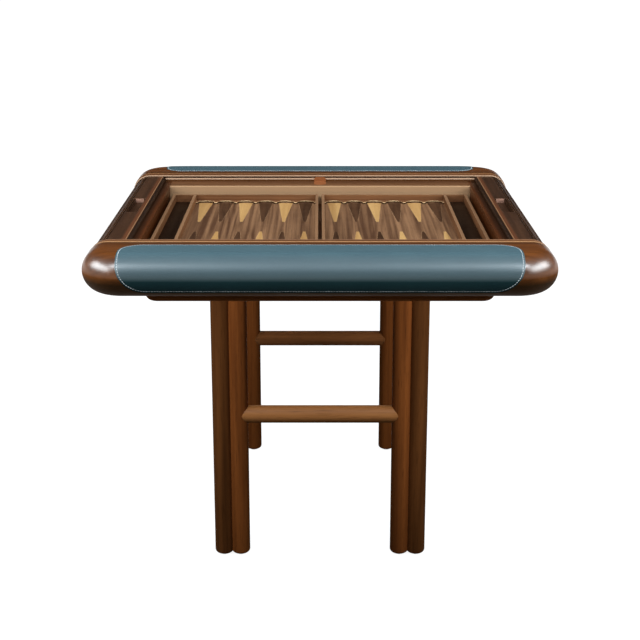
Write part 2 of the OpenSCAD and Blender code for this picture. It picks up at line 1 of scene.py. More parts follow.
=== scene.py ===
"""Dresses the backgammon table: leather armrests, figured walnut, inlaid points and slatted shutters."""
import logging
import math
from collections.abc import Iterator
from dataclasses import dataclass, replace
from enum import Enum

import bmesh
import bpy
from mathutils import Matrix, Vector


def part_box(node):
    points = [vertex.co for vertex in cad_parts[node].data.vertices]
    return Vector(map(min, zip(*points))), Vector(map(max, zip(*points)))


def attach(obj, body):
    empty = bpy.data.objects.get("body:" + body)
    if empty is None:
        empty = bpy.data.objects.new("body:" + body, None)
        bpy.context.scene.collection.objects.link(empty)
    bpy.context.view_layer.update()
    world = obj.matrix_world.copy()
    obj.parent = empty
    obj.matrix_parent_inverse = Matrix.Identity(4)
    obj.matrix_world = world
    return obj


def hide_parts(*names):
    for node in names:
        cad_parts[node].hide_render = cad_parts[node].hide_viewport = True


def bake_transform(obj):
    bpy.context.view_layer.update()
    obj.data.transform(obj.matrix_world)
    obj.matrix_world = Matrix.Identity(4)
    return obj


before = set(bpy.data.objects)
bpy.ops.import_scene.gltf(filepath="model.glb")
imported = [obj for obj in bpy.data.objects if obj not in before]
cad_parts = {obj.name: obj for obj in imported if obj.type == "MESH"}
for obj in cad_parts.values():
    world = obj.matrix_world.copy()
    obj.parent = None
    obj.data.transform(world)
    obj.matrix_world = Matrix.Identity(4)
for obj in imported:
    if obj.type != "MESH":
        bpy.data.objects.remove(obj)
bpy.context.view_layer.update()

MM = 0.001
log = logging.getLogger("backgammon_table")

Colour = tuple[float, float, float, float]
Point = tuple[float, float, float]
WHITE: Colour = (1.0, 1.0, 1.0, 1.0)


def face(node: str, axis: str, low: bool = False) -> float:
    """Reads where a CAD node ends along one axis.

    Args:
        node: The node's name.
        axis: X, Y or Z.
        low: Whether it is the end with the lower coordinate.

    Returns:
        The end's coordinate in metres, to a tenth of a millimetre.
    """
    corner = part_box(node)[0 if low else 1]
    return round(corner["XYZ".index(axis)], 4)


TOP_X = face("rear_armrest", "X")
TOP_Y = face("rear_armrest", "Y")
TOP_Z = face("rear_armrest", "Z")
NOSE = round((TOP_Z - face("rear_armrest", "Z", low=True)) / 2, 4)
NOSE_Z = TOP_Z - NOSE
ARMREST_INNER = face("rear_armrest", "Y", low=True)
LEATHER_X = face("rear_leather", "X")
LEATHER_INNER = face("rear_leather", "Y", low=True)
SIDE_INNER = face("rear_side_board", "Y", low=True)
TONGUE_END = face("right_nose_slats", "Y")
LEDGE_INNER = face("rear_ledge", "Y", low=True)
RAIL_INNER = face("right_lead_rail", "X", low=True)
CORE_INNER = face("right_end_core", "X", low=True)
DIVIDER_OUTER = face("right_tray_divider", "X")
TRAY_RIM = face("right_tray_outer_wall", "Z")
NEST_TOP = face("right_rear_nest_strip", "Z")
STRETCHER_TOP = face("front_stretcher", "Z")
# Half the length of a lead rail's finger pull
PULL_HALF = 80 * MM
# A distance past every board, for a band with no outer end
BEYOND = 10.0
# How often a search halves its range
HALVINGS = 50


def srgb(red: int, green: int, blue: int) -> Colour:
    """Turns a screen colour into the linear colour that a shader takes.

    Args:
        red: Red from 0 to 255.
        green: Green from 0 to 255.
        blue: Blue from 0 to 255.

    Returns:
        The linear colour with full opacity.
    """
    def linear(value: float) -> float:
        """Undoes the screen curve for one channel."""
        return value / 12.92 if value <= 0.04045 else ((value + 0.055) / 1.055) ** 2.4

    return (*(linear(channel / 255) for channel in (red, green, blue)), 1.0)


class Side(Enum):
    """The two ends of the table, with the sign of their x."""

    LEFT = -1
    RIGHT = 1

    @property
    def word(self) -> str:
        """The side's name as the part's nodes spell it."""
        return self.name.lower()


class Player(Enum):
    """The two players' sides of the table, with the sign of their y."""

    FRONT = -1
    REAR = 1

    @property
    def word(self) -> str:
        """The side's name as the part's nodes spell it."""
        return self.name.lower()


class Grain(Enum):
    """The direction that a board's grain runs, as the turn that brings it to x."""

    ALONG_X = (0.0, 0.0, 0.0)
    ALONG_Y = (0.0, 0.0, math.pi / 2)
    ALONG_Z = (0.0, math.pi / 2, 0.0)


class Wiring:
    """Adds and joins the nodes of one tree."""

    # The colour sockets of a Mix node, whose names its other sockets share
    mix_first = 6
    mix_second = 7
    mix_result = 2

    def __init__(self, tree: bpy.types.NodeTree) -> None:
        """Keeps the tree that the nodes go into."""
        self.tree = tree

    def add(self, kind: str, **settings: object) -> bpy.types.Node:
        """Adds a node.

        Args:
            kind: The node's type name.
            settings: Properties of the node, or values for its inputs under the input's name
                in lower case with underscores.

        Returns:
            The new node.
        """
        node = self.tree.nodes.new(kind)
        own = set(node.bl_rna.properties.keys()) - set(bpy.types.Node.bl_rna.properties.keys())
        sockets = {socket.name.lower().replace(" ", "_"): socket for socket in reversed(node.inputs)}
        for name, value in settings.items():
            if name in own:
                setattr(node, name, value)
            else:
                self.feed(sockets[name], value)
        return node

    def feed(self, socket: bpy.types.NodeSocket, value: object) -> None:
        """Joins another socket to this one, or sets its value."""
        if isinstance(value, bpy.types.NodeSocket):
            self.tree.links.new(value, socket)
        else:
            socket.default_value = value

    def math(self, operation: str, first: object, second: object = 0.0) -> bpy.types.NodeSocket:
        """Adds a math node and returns its result."""
        node = self.tree.nodes.new("ShaderNodeMath")
        node.operation = operation
        self.feed(node.inputs[0], first)
        self.feed(node.inputs[1], second)
        return node.outputs[0]

    def ramp(self, value: object, low: float, high: float, start: float = 0.0, end: float = 1.0
             ) -> bpy.types.NodeSocket:
        """Maps a value from low..high to start..end, with its ends held."""
        node = self.tree.nodes.new("ShaderNodeMapRange")
        for socket, number in zip(node.inputs, (value, low, high, start, end)):
            self.feed(socket, number)
        return node.outputs[0]

    def blend(self, share: object, first: object, second: object) -> bpy.types.NodeSocket:
        """Mixes two colours and returns the result."""
        node = self.tree.nodes.new("ShaderNodeMix")
        node.data_type = "RGBA"
        self.feed(node.inputs[0], share)
        self.feed(node.inputs[self.mix_first], first)
        self.feed(node.inputs[self.mix_second], second)
        return node.outputs[self.mix_result]

    def noise(self, vector: object, scale: object, detail: float = 2.0, roughness: float = 0.5
              ) -> bpy.types.NodeSocket:
        """Adds a noise texture and returns its value."""
        node = self.tree.nodes.new("ShaderNodeTexNoise")
        self.feed(node.inputs["Vector"], vector)
        self.feed(node.inputs["Scale"], scale)
        node.inputs["Detail"].default_value = detail
        node.inputs["Roughness"].default_value = roughness
        return node.outputs["Fac"]

    def stretch(self, vector: object, factors: Point) -> bpy.types.NodeSocket:
        """Scales a vector along its three axes."""
        node = self.tree.nodes.new("ShaderNodeVectorMath")
        node.operation = "MULTIPLY"
        self.feed(node.inputs[0], vector)
        node.inputs[1].default_value = factors
        return node.outputs[0]


class EffectGroup:
    """A shader node group that several finishes share. It is built once."""

    title = "effect"
    takes: tuple[tuple[str, str, object], ...] = ()
    gives: tuple[tuple[str, str], ...] = ()
    built: dict[str, bpy.types.NodeTree] = {}

    @classmethod
    def tree(cls) -> bpy.types.NodeTree:
        """Returns the group's tree, building it the first time."""
        if cls.title not in cls.built:
            group = bpy.data.node_groups.new(cls.title, "ShaderNodeTree")
            for name, kind, value in cls.takes:
                socket = group.interface.new_socket(name, in_out="INPUT", socket_type=kind)
                if value is not None:
                    socket.default_value = value
            for name, kind in cls.gives:
                group.interface.new_socket(name, in_out="OUTPUT", socket_type=kind)
            wiring = Wiring(group)
            entry = group.nodes.new("NodeGroupInput")
            leaving = group.nodes.new("NodeGroupOutput")
            results = cls.effect(wiring, entry.outputs)
            for name, socket in results.items():
                group.links.new(socket, leaving.inputs[name])
            cls.built[cls.title] = group
        return cls.built[cls.title]

    @classmethod
    def effect(cls, wiring: Wiring, given: bpy.types.NodeOutputs) -> dict[str, bpy.types.NodeSocket]:
        """Wires the effect. Each kind of group has its own."""
        raise NotImplementedError

    @classmethod
    def place(cls, wiring: Wiring, **values: object) -> bpy.types.NodeOutputs:
        """Puts the group into a material.

        Args:
            wiring: The material's tree.
            values: A value or socket for each input, under its name with underscores for spaces.

        Returns:
            The group's outputs.
        """
        node = wiring.tree.nodes.new("ShaderNodeGroup")
        node.node_tree = cls.tree()
        for name, value in values.items():
            wiring.feed(node.inputs[name.replace("_", " ")], value)
        return node.outputs


class WoodGrain(EffectGroup):
    """Growth rings, fibres, pores and broad tone, for boards whose grain runs along x."""

    title = "wood grain"
    takes = (
        ("Vector", "NodeSocketVector", None),
        ("Light", "NodeSocketColor", srgb(120, 80, 50)),
        ("Dark", "NodeSocketColor", srgb(70, 42, 25)),
        ("Pore", "NodeSocketColor", srgb(35, 20, 12)),
        ("Rings", "NodeSocketFloat", 7.0),
        ("Figure", "NodeSocketFloat", 0.6),
        ("Pores", "NodeSocketFloat", 0.6),
        ("Straightness", "NodeSocketFloat", 1.0),
        ("Streaks", "NodeSocketFloat", 0.5),
    )
    gives = (("Colour", "NodeSocketColor"), ("Height", "NodeSocketFloat"), ("Fibre", "NodeSocketFloat"))
    # Noise cells in a metre, along the grain and in the two directions across it
    ring_cells = (1.1, 9.0, 9.0)
    streak_cells = (2.2, 75.0, 75.0)
    fibre_cells = (14.0, 520.0, 520.0)
    pore_cells = (48.0, 1150.0, 1150.0)
    tone_cells = (0.9, 4.0, 4.0)
    fibre_share = 0.22
    tone_share = 0.28

    @classmethod
    def effect(cls, wiring: Wiring, given: bpy.types.NodeOutputs) -> dict[str, bpy.types.NodeSocket]:
        """Wires the grain."""
        parts = wiring.add("ShaderNodeSeparateXYZ", vector=given["Vector"])
        along = wiring.math("DIVIDE", parts.outputs["X"], given["Straightness"])
        straight = wiring.add("ShaderNodeCombineXYZ", x=along, y=parts.outputs["Y"], z=parts.outputs["Z"])
        vector = straight.outputs[0]
        broad = wiring.noise(wiring.stretch(vector, cls.ring_cells), 1.0, 3.0, 0.55)
        turns = wiring.math("MULTIPLY", wiring.math("MULTIPLY", broad, given["Rings"]), 2 * math.pi)
        wave = wiring.math("MULTIPLY_ADD", wiring.math("SINE", turns), 0.5)
        wave.node.inputs[2].default_value = 0.5
        rings = wiring.math("POWER", wave, 1.8)
        streak = wiring.noise(wiring.stretch(vector, cls.streak_cells), 1.0, 4.0, 0.6)
        fibre = wiring.noise(wiring.stretch(vector, cls.fibre_cells), 1.0, 3.0, 0.6)
        dashes = wiring.noise(wiring.stretch(vector, cls.pore_cells), 1.0, 1.0, 0.5)
        pores = wiring.ramp(dashes, 0.62, 0.72)
        tone = wiring.ramp(wiring.noise(wiring.stretch(vector, cls.tone_cells), 1.0, 1.0), 0.3, 0.7)
        ringed = wiring.math("MULTIPLY", rings, given["Figure"])
        streaked = wiring.math("MULTIPLY", wiring.ramp(streak, 0.34, 0.66), given["Streaks"])
        fibred = wiring.math("MULTIPLY", fibre, cls.fibre_share)
        toned = wiring.math("MULTIPLY", tone, cls.tone_share)
        share = wiring.math("ADD", wiring.math("ADD", ringed, streaked), wiring.math("ADD", fibred, toned))
        wood = wiring.blend(wiring.ramp(share, 0.12, 1.15), given["Light"], given["Dark"])
        colour = wiring.blend(wiring.math("MULTIPLY", pores, given["Pores"]), wood, given["Pore"])
        height = wiring.math("SUBTRACT", wiring.math("MULTIPLY", fibre, 0.5), pores)
        return {"Colour": colour, "Height": height, "Fibre": fibre}


class EdgeWear(EffectGroup):
    """Marks sharp edges, where the finish wears thin and where some finishes also paint a highlight."""

    title = "edge wear"
    takes = (
        ("Vector", "NodeSocketVector", None),
        ("Reach", "NodeSocketFloat", 1.5 * MM),
        ("Amount", "NodeSocketFloat", 0.5),
    )
    gives = (("Mask", "NodeSocketFloat"), ("Normal", "NodeSocketVector"))
    # The cosine between the surface and its rounded copy where wear begins, and where it is full
    begins = 0.995
    full = 0.86
    break_cells = 55.0

    @classmethod
    def effect(cls, wiring: Wiring, given: bpy.types.NodeOutputs) -> dict[str, bpy.types.NodeSocket]:
        """Compares the surface with a rounded copy of itself, whose normal it gives too."""
        rounded = wiring.tree.nodes.new("ShaderNodeBevel")
        rounded.samples = 4
        wiring.feed(rounded.inputs["Radius"], given["Reach"])
        surface = wiring.tree.nodes.new("ShaderNodeNewGeometry")
        turn = wiring.tree.nodes.new("ShaderNodeVectorMath")
        turn.operation = "DOT_PRODUCT"
        wiring.feed(turn.inputs[0], rounded.outputs[0])
        wiring.feed(turn.inputs[1], surface.outputs["Normal"])
        edge = wiring.ramp(turn.outputs["Value"], cls.begins, cls.full)
        broken = wiring.ramp(wiring.noise(given["Vector"], cls.break_cells, 3.0), 0.35, 0.65, 0.35, 1.0)
        worn = wiring.math("MULTIPLY", edge, broken)
        return {"Mask": wiring.math("MULTIPLY", worn, given["Amount"]), "Normal": rounded.outputs[0]}


class Handling(EffectGroup):
    """Faint smears and polish, which change how sharply a surface reflects."""

    title = "handling"
    takes = (("Vector", "NodeSocketVector", None), ("Scale", "NodeSocketFloat", 9.0))
    gives = (("Mask", "NodeSocketFloat"),)
    speckle_cells = 260.0
    patch_share = 0.8
    speckle_share = 0.2

    @classmethod
    def effect(cls, wiring: Wiring, given: bpy.types.NodeOutputs) -> dict[str, bpy.types.NodeSocket]:
        """Lays broad patches over fine speckle."""
        patches = wiring.noise(given["Vector"], given["Scale"], 4.0, 0.6)
        speckle = wiring.noise(given["Vector"], cls.speckle_cells, 2.0, 0.5)
        broad = wiring.math("MULTIPLY", patches, cls.patch_share)
        fine = wiring.math("MULTIPLY", speckle, cls.speckle_share)
        return {"Mask": wiring.ramp(wiring.math("ADD", broad, fine), 0.35, 0.65)}


class HideGrain(EffectGroup):
    """Pebbled leather with fine creases."""

    title = "hide grain"
    takes = (("Vector", "NodeSocketVector", None), ("Scale", "NodeSocketFloat", 700.0))
    gives = (("Height", "NodeSocketFloat"), ("Crease", "NodeSocketFloat"))
    fold_cells = 240.0
    # Distances from a crease, in cells, where a pebble is full and where the crease's dark ends
    pebble_edge = 0.28
    crease_edge = 0.16

    @classmethod
    def effect(cls, wiring: Wiring, given: bpy.types.NodeOutputs) -> dict[str, bpy.types.NodeSocket]:
        """Wires cells with dark creases between them."""
        cells = wiring.tree.nodes.new("ShaderNodeTexVoronoi")
        cells.feature = "DISTANCE_TO_EDGE"
        wiring.feed(cells.inputs["Vector"], given["Vector"])
        wiring.feed(cells.inputs["Scale"], given["Scale"])
        pebble = wiring.ramp(cells.outputs["Distance"], 0.0, cls.pebble_edge)
        folds = wiring.noise(given["Vector"], cls.fold_cells, 4.0, 0.6)
        height = wiring.math("MULTIPLY", wiring.math("ADD", pebble, folds), 0.6)
        return {"Height": height, "Crease": wiring.ramp(cells.outputs["Distance"], cls.crease_edge, 0.0)}


def new_material(name: str) -> tuple[bpy.types.Material, Wiring, bpy.types.Node]:
    """Makes a material with an empty tree.

    Args:
        name: The material's name.

    Returns:
        The material, its wiring and its Principled shader.
    """
    material = bpy.data.materials.new(name)
    material.use_nodes = True
    tree = material.node_tree
    tree.nodes.clear()
    shader = tree.nodes.new("ShaderNodeBsdfPrincipled")
    output = tree.nodes.new("ShaderNodeOutputMaterial")
    tree.links.new(shader.outputs[0], output.inputs[0])
    return material, Wiring(tree), shader


def object_vector(wiring: Wiring, turn: Point = (0.0, 0.0, 0.0), shift: Point = (0.0, 0.0, 0.0)
                  ) -> bpy.types.NodeSocket:
    """Gives Object coordinates, turned and shifted."""
    coordinates = wiring.tree.nodes.new("ShaderNodeTexCoord")
    mapping = wiring.tree.nodes.new("ShaderNodeMapping")
    mapping.vector_type = "TEXTURE"
    mapping.inputs["Rotation"].default_value = turn
    mapping.inputs["Location"].default_value = shift
    wiring.tree.links.new(coordinates.outputs["Object"], mapping.inputs["Vector"])
    return mapping.outputs["Vector"]


def bump(wiring: Wiring, shader: bpy.types.Node, height: bpy.types.NodeSocket, depth: float,
         normal: bpy.types.NodeSocket | None = None) -> None:
    """Feeds a height into a shader's Normal.

    Args:
        wiring: The material's tree.
        shader: The shader.
        height: The relief, from 0 to 1.
        depth: The relief's depth in metres.
        normal: The normal that the relief stands on, where it isn't the surface's own.
    """
    node = wiring.tree.nodes.new("ShaderNodeBump")
    node.inputs["Strength"].default_value = 1.0
    node.inputs["Distance"].default_value = depth
    wiring.tree.links.new(height, node.inputs["Height"])
    if normal is not None:
        wiring.tree.links.new(normal, node.inputs["Normal"])
    wiring.tree.links.new(node.outputs["Normal"], shader.inputs["Normal"])


def object_place(wiring: Wiring) -> bpy.types.NodeOutputs:
    """Gives a point's place on the table as three numbers."""
    coordinates = wiring.tree.nodes.new("ShaderNodeTexCoord")
    parts = wiring.tree.nodes.new("ShaderNodeSeparateXYZ")
    wiring.tree.links.new(coordinates.outputs["Object"], parts.inputs[0])
    return parts.outputs


def polish(wiring: Wiring, shader: bpy.types.Node, rough: bpy.types.NodeSocket, weight: float,
           heights: tuple[float, float] | None) -> None:
    """Sets how a surface reflects, with a polish on the parts between two heights.

    Args:
        wiring: The material's tree.
        shader: The shader.
        rough: The roughness where the surface is polished.
        weight: How full the polish is.
        heights: The lowest and highest place that is polished, or None where all of it is.
    """
    if heights:
        low, high = heights
        low_fade = 12 * MM
        high_fade = 4 * MM
        unpolished = 0.4
        height = object_place(wiring)["Z"]
        over = wiring.ramp(height, low - low_fade, low + low_fade)
        under = wiring.ramp(height, high - high_fade, high + high_fade, 1.0, 0.0)
        polished = wiring.math("MULTIPLY", over, under)
        wiring.feed(shader.inputs["Coat Weight"], wiring.math("MULTIPLY", polished, weight))
        rough = wiring.math("ADD", rough, wiring.ramp(over, 0.0, 1.0, unpolished, 0.0))
    else:
        shader.inputs["Coat Weight"].default_value = weight
    wiring.feed(shader.inputs["Roughness"], rough)


@dataclass(frozen=True)
class Band:
    """A stretch of a board in another colour. Most bands here are painted shade or painted highlights."""

    axis: str
    low: float
    high: float
    colour: Colour
    share: float = 0.8
    soft: float = 0.4 * MM
    facing_players: bool = False
    facing: tuple[float, float] = (0.72, 0.97)

    def mask(self, wiring: Wiring, place: bpy.types.NodeOutputs) -> bpy.types.NodeSocket:
        """Marks the stretch between two distances from the table's middle, along one axis.

        Args:
            wiring: The material's tree.
            place: The point's place on the table.

        Returns:
            The stretch's share of each point's colour.
        """
        away = wiring.math("ABSOLUTE", place[self.axis])
        begun = wiring.ramp(away, self.low - self.soft, self.low + self.soft, 0.0, self.share)
        going = wiring.ramp(away, self.high - self.soft, self.high + self.soft, 1.0, 0.0)
        marked = wiring.math("MULTIPLY", begun, going)
        if self.facing_players:
            surface = wiring.tree.nodes.new("ShaderNodeNewGeometry")
            parts = wiring.tree.nodes.new("ShaderNodeSeparateXYZ")
            wiring.feed(parts.inputs[0], surface.outputs["True Normal"])
            facing = wiring.ramp(wiring.math("ABSOLUTE", parts.outputs["Y"]), *self.facing)
            marked = wiring.math("MULTIPLY", marked, facing)
        return marked


@dataclass(frozen=True)
class WoodFinish:
    """A wood and its varnish."""

    name: str
    light: Colour
    dark: Colour
    pore: Colour
    worn: Colour
    rings: float = 7.0
    figure: float = 0.5
    pores: float = 0.55
    straightness: float = 1.0
    wear: float = 0.5
    arris: float = 1.5 * MM
    smooth: float = 0.28
    rough: float = 0.42
    shine: float = 0.12
    sheen_tint: Colour = (0.95, 0.6, 0.36, 1.0)
    coat: float = 0.0
    coat_roughness: float = 0.16
    coat_ior: float = 1.5
    polished: tuple[float, float] | None = None
    streaks: float = 0.5
    bands: tuple[Band, ...] = ()
    pore_depth: float = 0.06 * MM
    first_board: Point = (0.11, 0.05, 0.02)
    next_board: Point = (0.37, 0.173, 0.291)

    def material(self, grain: Grain, cut: int = 0) -> bpy.types.Material:
        """Makes this finish for one board.

        Args:
            grain: The direction of the board's grain.
            cut: Which part of the tree the board comes from, so that boards side by side differ.

        Returns:
            The material, shared by boards of the same grain and cut.
        """
        title = f"{self.name} {grain.name.lower().replace('_', ' ')} {cut}"
        if title in bpy.data.materials:
            return bpy.data.materials[title]
        material, wiring, shader = new_material(title)
        shift = tuple(start + cut * step for start, step in zip(self.first_board, self.next_board))
        vector = object_vector(wiring, grain.value, shift)
        wood = WoodGrain.place(
            wiring, Vector=vector, Light=self.light, Dark=self.dark, Pore=self.pore,
            Rings=self.rings, Figure=self.figure, Pores=self.pores, Straightness=self.straightness,
            Streaks=self.streaks,
        )
        wear = EdgeWear.place(wiring, Vector=vector, Amount=self.wear, Reach=self.arris)
        handled = Handling.place(wiring, Vector=vector)
        colour = wiring.blend(wear["Mask"], wood["Colour"], self.worn)
        place = object_place(wiring)
        for band in self.bands:
            colour = wiring.blend(band.mask(wiring, place), colour, band.colour)
        wiring.feed(shader.inputs["Base Color"], colour)
        shader.inputs["Specular IOR Level"].default_value = self.shine
        shader.inputs["Specular Tint"].default_value = self.sheen_tint
        shader.inputs["Coat Roughness"].default_value = self.coat_roughness
        shader.inputs["Coat IOR"].default_value = self.coat_ior
        rough = wiring.ramp(handled["Mask"], 0.0, 1.0, self.smooth, self.rough)
        polish(wiring, shader, rough, self.coat, self.polished)
        bump(wiring, shader, wood["Height"], self.pore_depth, wear["Normal"])
        return material


@dataclass(frozen=True)
class LeatherFinish:
    """Dyed leather with a pebbled grain."""

    name: str
    dye: Colour
    shade: Colour
    crease: Colour
    # Painted shade: the colour the leather takes below its nose
    unrubbed: Colour
    roughness: float = 0.41
    patchiness: float = 0.12
    shine: float = 0.12
    sheen_tint: Colour = (0.55, 0.9, 1.0, 1.0)
    coat_roughness: float = 0.41
    coat_ior: float = 2.1
    polished: tuple[float, float] = (NOSE_Z + 6 * MM, TOP_Z - 4 * MM)
    # Heights over which the painted underside shade fades into the dye
    rubbed: tuple[float, float] = (NOSE_Z - 4 * MM, NOSE_Z + 22 * MM)
    pebbles: float = 620.0
    pebble_depth: float = 0.18 * MM

    def material(self) -> bpy.types.Material:
        """Makes the leather, polished where arms rest on it, with painted shade darkening it below the nose.
        """
        material, wiring, shader = new_material(self.name)
        vector = object_vector(wiring)
        hide = HideGrain.place(wiring, Vector=vector, Scale=self.pebbles)
        handled = Handling.place(wiring, Vector=vector, Scale=6.0)
        cloudy = wiring.ramp(wiring.noise(vector, 11.0, 4.0, 0.6), 0.3, 0.7)
        dyed = wiring.blend(wiring.math("MULTIPLY", cloudy, 0.55), self.dye, self.shade)
        colour = wiring.blend(wiring.math("MULTIPLY", hide["Crease"], 0.45), dyed, self.crease)
        rubbed = wiring.ramp(object_place(wiring)["Z"], *self.rubbed)
        wiring.feed(shader.inputs["Base Color"], wiring.blend(rubbed, self.unrubbed, colour))
        shader.inputs["Specular IOR Level"].default_value = self.shine
        shader.inputs["Specular Tint"].default_value = self.sheen_tint
        shader.inputs["Coat Roughness"].default_value = self.coat_roughness
        shader.inputs["Coat IOR"].default_value = self.coat_ior
        rough = wiring.ramp(handled["Mask"], 0.0, 1.0, self.roughness, self.roughness + self.patchiness)
        polish(wiring, shader, rough, 1.0, self.polished)
        bump(wiring, shader, hide["Height"], self.pebble_depth)
        return material


@dataclass(frozen=True)
class ThreadFinish:
    """Waxed sewing thread, twisted from strands."""

    name: str
    strand: Colour
    shadow: Colour
    twist_depth: float = 0.2 * MM

    def material(self) -> bpy.types.Material:
        """Makes the thread."""
        material, wiring, shader = new_material(self.name)
        vector = object_vector(wiring)
        strands = wiring.noise(vector, 1500.0, 2.0, 0.6)
        twisted = wiring.ramp(strands, 0.35, 0.7, 0.0, 0.6)
        soiled = wiring.ramp(wiring.noise(vector, 25.0, 2.0), 0.5, 0.8, 0.0, 0.3)
        share = wiring.math("ADD", twisted, soiled)
        wiring.feed(shader.inputs["Base Color"], wiring.blend(share, self.strand, self.shadow))
        wiring.feed(shader.inputs["Roughness"], wiring.ramp(strands, 0.3, 0.7, 0.5, 0.75))
        bump(wiring, shader, strands, self.twist_depth)
        return material


@dataclass(frozen=True)
class ClothFinish:
    """Woven canvas."""

    name: str
    warp: Colour
    weft: Colour
    thread: float = 0.9 * MM
    weave_depth: float = 0.2 * MM

    def material(self) -> bpy.types.Material:
        """Makes the canvas."""
        material, wiring, shader = new_material(self.name)
        vector = object_vector(wiring)
        parts = wiring.tree.nodes.new("ShaderNodeSeparateXYZ")
        wiring.tree.links.new(vector, parts.inputs[0])
        step = math.pi / self.thread
        across = wiring.math("SINE", wiring.math("MULTIPLY", parts.outputs["X"], step))
        along = wiring.math("SINE", wiring.math("MULTIPLY", parts.outputs["Y"], step))
        over = wiring.ramp(wiring.math("MULTIPLY", across, along), -0.4, 0.4)
        fuzz = wiring.noise(vector, 900.0, 2.0)
        wiring.feed(shader.inputs["Base Color"], wiring.blend(over, self.warp, self.weft))
        wiring.feed(shader.inputs["Roughness"], wiring.ramp(fuzz, 0.3, 0.7, 0.75, 0.95))
        bump(wiring, shader, wiring.math("ADD", over, fuzz), self.weave_depth)
        return material


@dataclass(frozen=True)
class MetalFinish:
    """Turned or brushed metal."""

    name: str
    bright: Colour
    dull: Colour
    roughness: float = 0.3
    arris: float = 0.6 * MM
    scratch_depth: float = 0.03 * MM

    def material(self) -> bpy.types.Material:
        """Makes the metal."""
        material, wiring, shader = new_material(self.name)
        vector = object_vector(wiring)
        scratches = wiring.noise(wiring.stretch(vector, (300.0, 300.0, 2400.0)), 1.0, 2.0)
        wear = EdgeWear.place(wiring, Vector=vector, Reach=self.arris, Amount=0.6)
        handled = Handling.place(wiring, Vector=vector, Scale=60.0)
        tarnished = wiring.blend(wiring.math("MULTIPLY", handled["Mask"], 0.6), self.bright, self.dull)
        wiring.feed(shader.inputs["Base Color"], wiring.blend(wear["Mask"], tarnished, self.bright))
        shader.inputs["Metallic"].default_value = 1.0
        rough = wiring.ramp(scratches, 0.3, 0.7, self.roughness - 0.08, self.roughness + 0.12)
        wiring.feed(shader.inputs["Roughness"], rough)
        bump(wiring, shader, scratches, self.scratch_depth)
        return material


@dataclass(frozen=True)
class PlasticFinish:
    """Moulded plastic, scuffed from use."""

    name: str
    body: Colour
    scuff: Colour
    arris: float = 0.8 * MM
    scuff_depth: float = 0.05 * MM

    def material(self) -> bpy.types.Material:
        """Makes the plastic."""
        material, wiring, shader = new_material(self.name)
        vector = object_vector(wiring)
        scuffs = wiring.ramp(wiring.noise(vector, 420.0, 3.0, 0.6), 0.5, 0.75)
        wear = EdgeWear.place(wiring, Vector=vector, Reach=self.arris, Amount=0.6)
        marked = wiring.math("MAXIMUM", wiring.math("MULTIPLY", scuffs, 0.5), wear["Mask"])
        wiring.feed(shader.inputs["Base Color"], wiring.blend(marked, self.body, self.scuff))
        wiring.feed(shader.inputs["Roughness"], wiring.ramp(scuffs, 0.0, 1.0, 0.45, 0.7))
        bump(wiring, shader, scuffs, self.scuff_depth)
        return material


GLOSS_WALNUT = WoodFinish(
    "gloss walnut",
    light=srgb(120, 70, 33), dark=srgb(80, 44, 19), pore=srgb(48, 26, 12), worn=srgb(174, 120, 74),
    rings=6.0, figure=0.35, pores=0.4, straightness=1.6, wear=0.5, arris=2.0 * MM, smooth=0.3, rough=0.4,
    shine=0.1, coat=1.0, coat_roughness=0.32, coat_ior=2.2, polished=(NOSE_Z + 11 * MM, TOP_Z - 6 * MM),
    bands=(
        # Painted shade: the armrest is darkened below its nose
        Band("Z", 0.0, NOSE_Z - 7 * MM, srgb(26, 19, 7), share=0.88, soft=8 * MM),
        # Painted shade on the strip between the armrest's inner edge and the leather
        Band("Y", ARMREST_INNER + 1 * MM, LEATHER_INNER - 2 * MM, srgb(56, 33, 18), share=0.45,
             soft=2 * MM),
    ),
)
SIDE_WALNUT = WoodFinish(
    "side walnut",
    light=srgb(128, 84, 52), dark=srgb(92, 57, 34), pore=srgb(50, 30, 17), worn=srgb(184, 138, 98),
    rings=6.0, figure=0.35, pores=0.4, straightness=2.0, wear=0.5, arris=1.2 * MM, smooth=0.3, rough=0.42,
    bands=(
        # Painted highlight on the lip below the groove, at the board's inner face
        Band("Y", SIDE_INNER - 6 * MM, SIDE_INNER + 1 * MM, srgb(226, 188, 156)),
        # Painted highlight along the board's outer edge beside the armrest
        Band("Y", ARMREST_INNER - 3.4 * MM, ARMREST_INNER - 0.4 * MM, srgb(196, 152, 108), share=0.7),
    ),
)
SHUTTER_WALNUT = WoodFinish(
    "shutter walnut",
    light=srgb(76, 51, 35), dark=srgb(48, 31, 21), pore=srgb(27, 17, 10), worn=srgb(150, 104, 70),
    rings=8.0, figure=0.35, pores=0.6, straightness=2.0, wear=0.7, arris=1.6 * MM, smooth=0.36, rough=0.5,
)
LEAD_WALNUT = replace(
    SHUTTER_WALNUT, name="lead rail walnut",
    bands=(
        # Painted light on the end walls of the finger pull
        Band("Y", PULL_HALF - 0.1 * MM, PULL_HALF + 0.1 * MM, srgb(190, 146, 126), soft=0.05 * MM),
        # Painted reddish sheen on the top beside the rounded inner edge
        Band("X", RAIL_INNER + 9 * MM, RAIL_INNER + 16 * MM, srgb(122, 70, 42), share=0.5, soft=3 * MM),
        # Painted shade on the rail's inner face
        Band("X", 0.0, RAIL_INNER + 6.4 * MM, srgb(34, 21, 13), share=0.75, soft=1 * MM),
        # Painted highlight along the top of the rail's inner arris
        Band("X", RAIL_INNER + 6.6 * MM, RAIL_INNER + 8.6 * MM, srgb(178, 130, 92), share=0.65,
             soft=0.6 * MM),
    ),
)
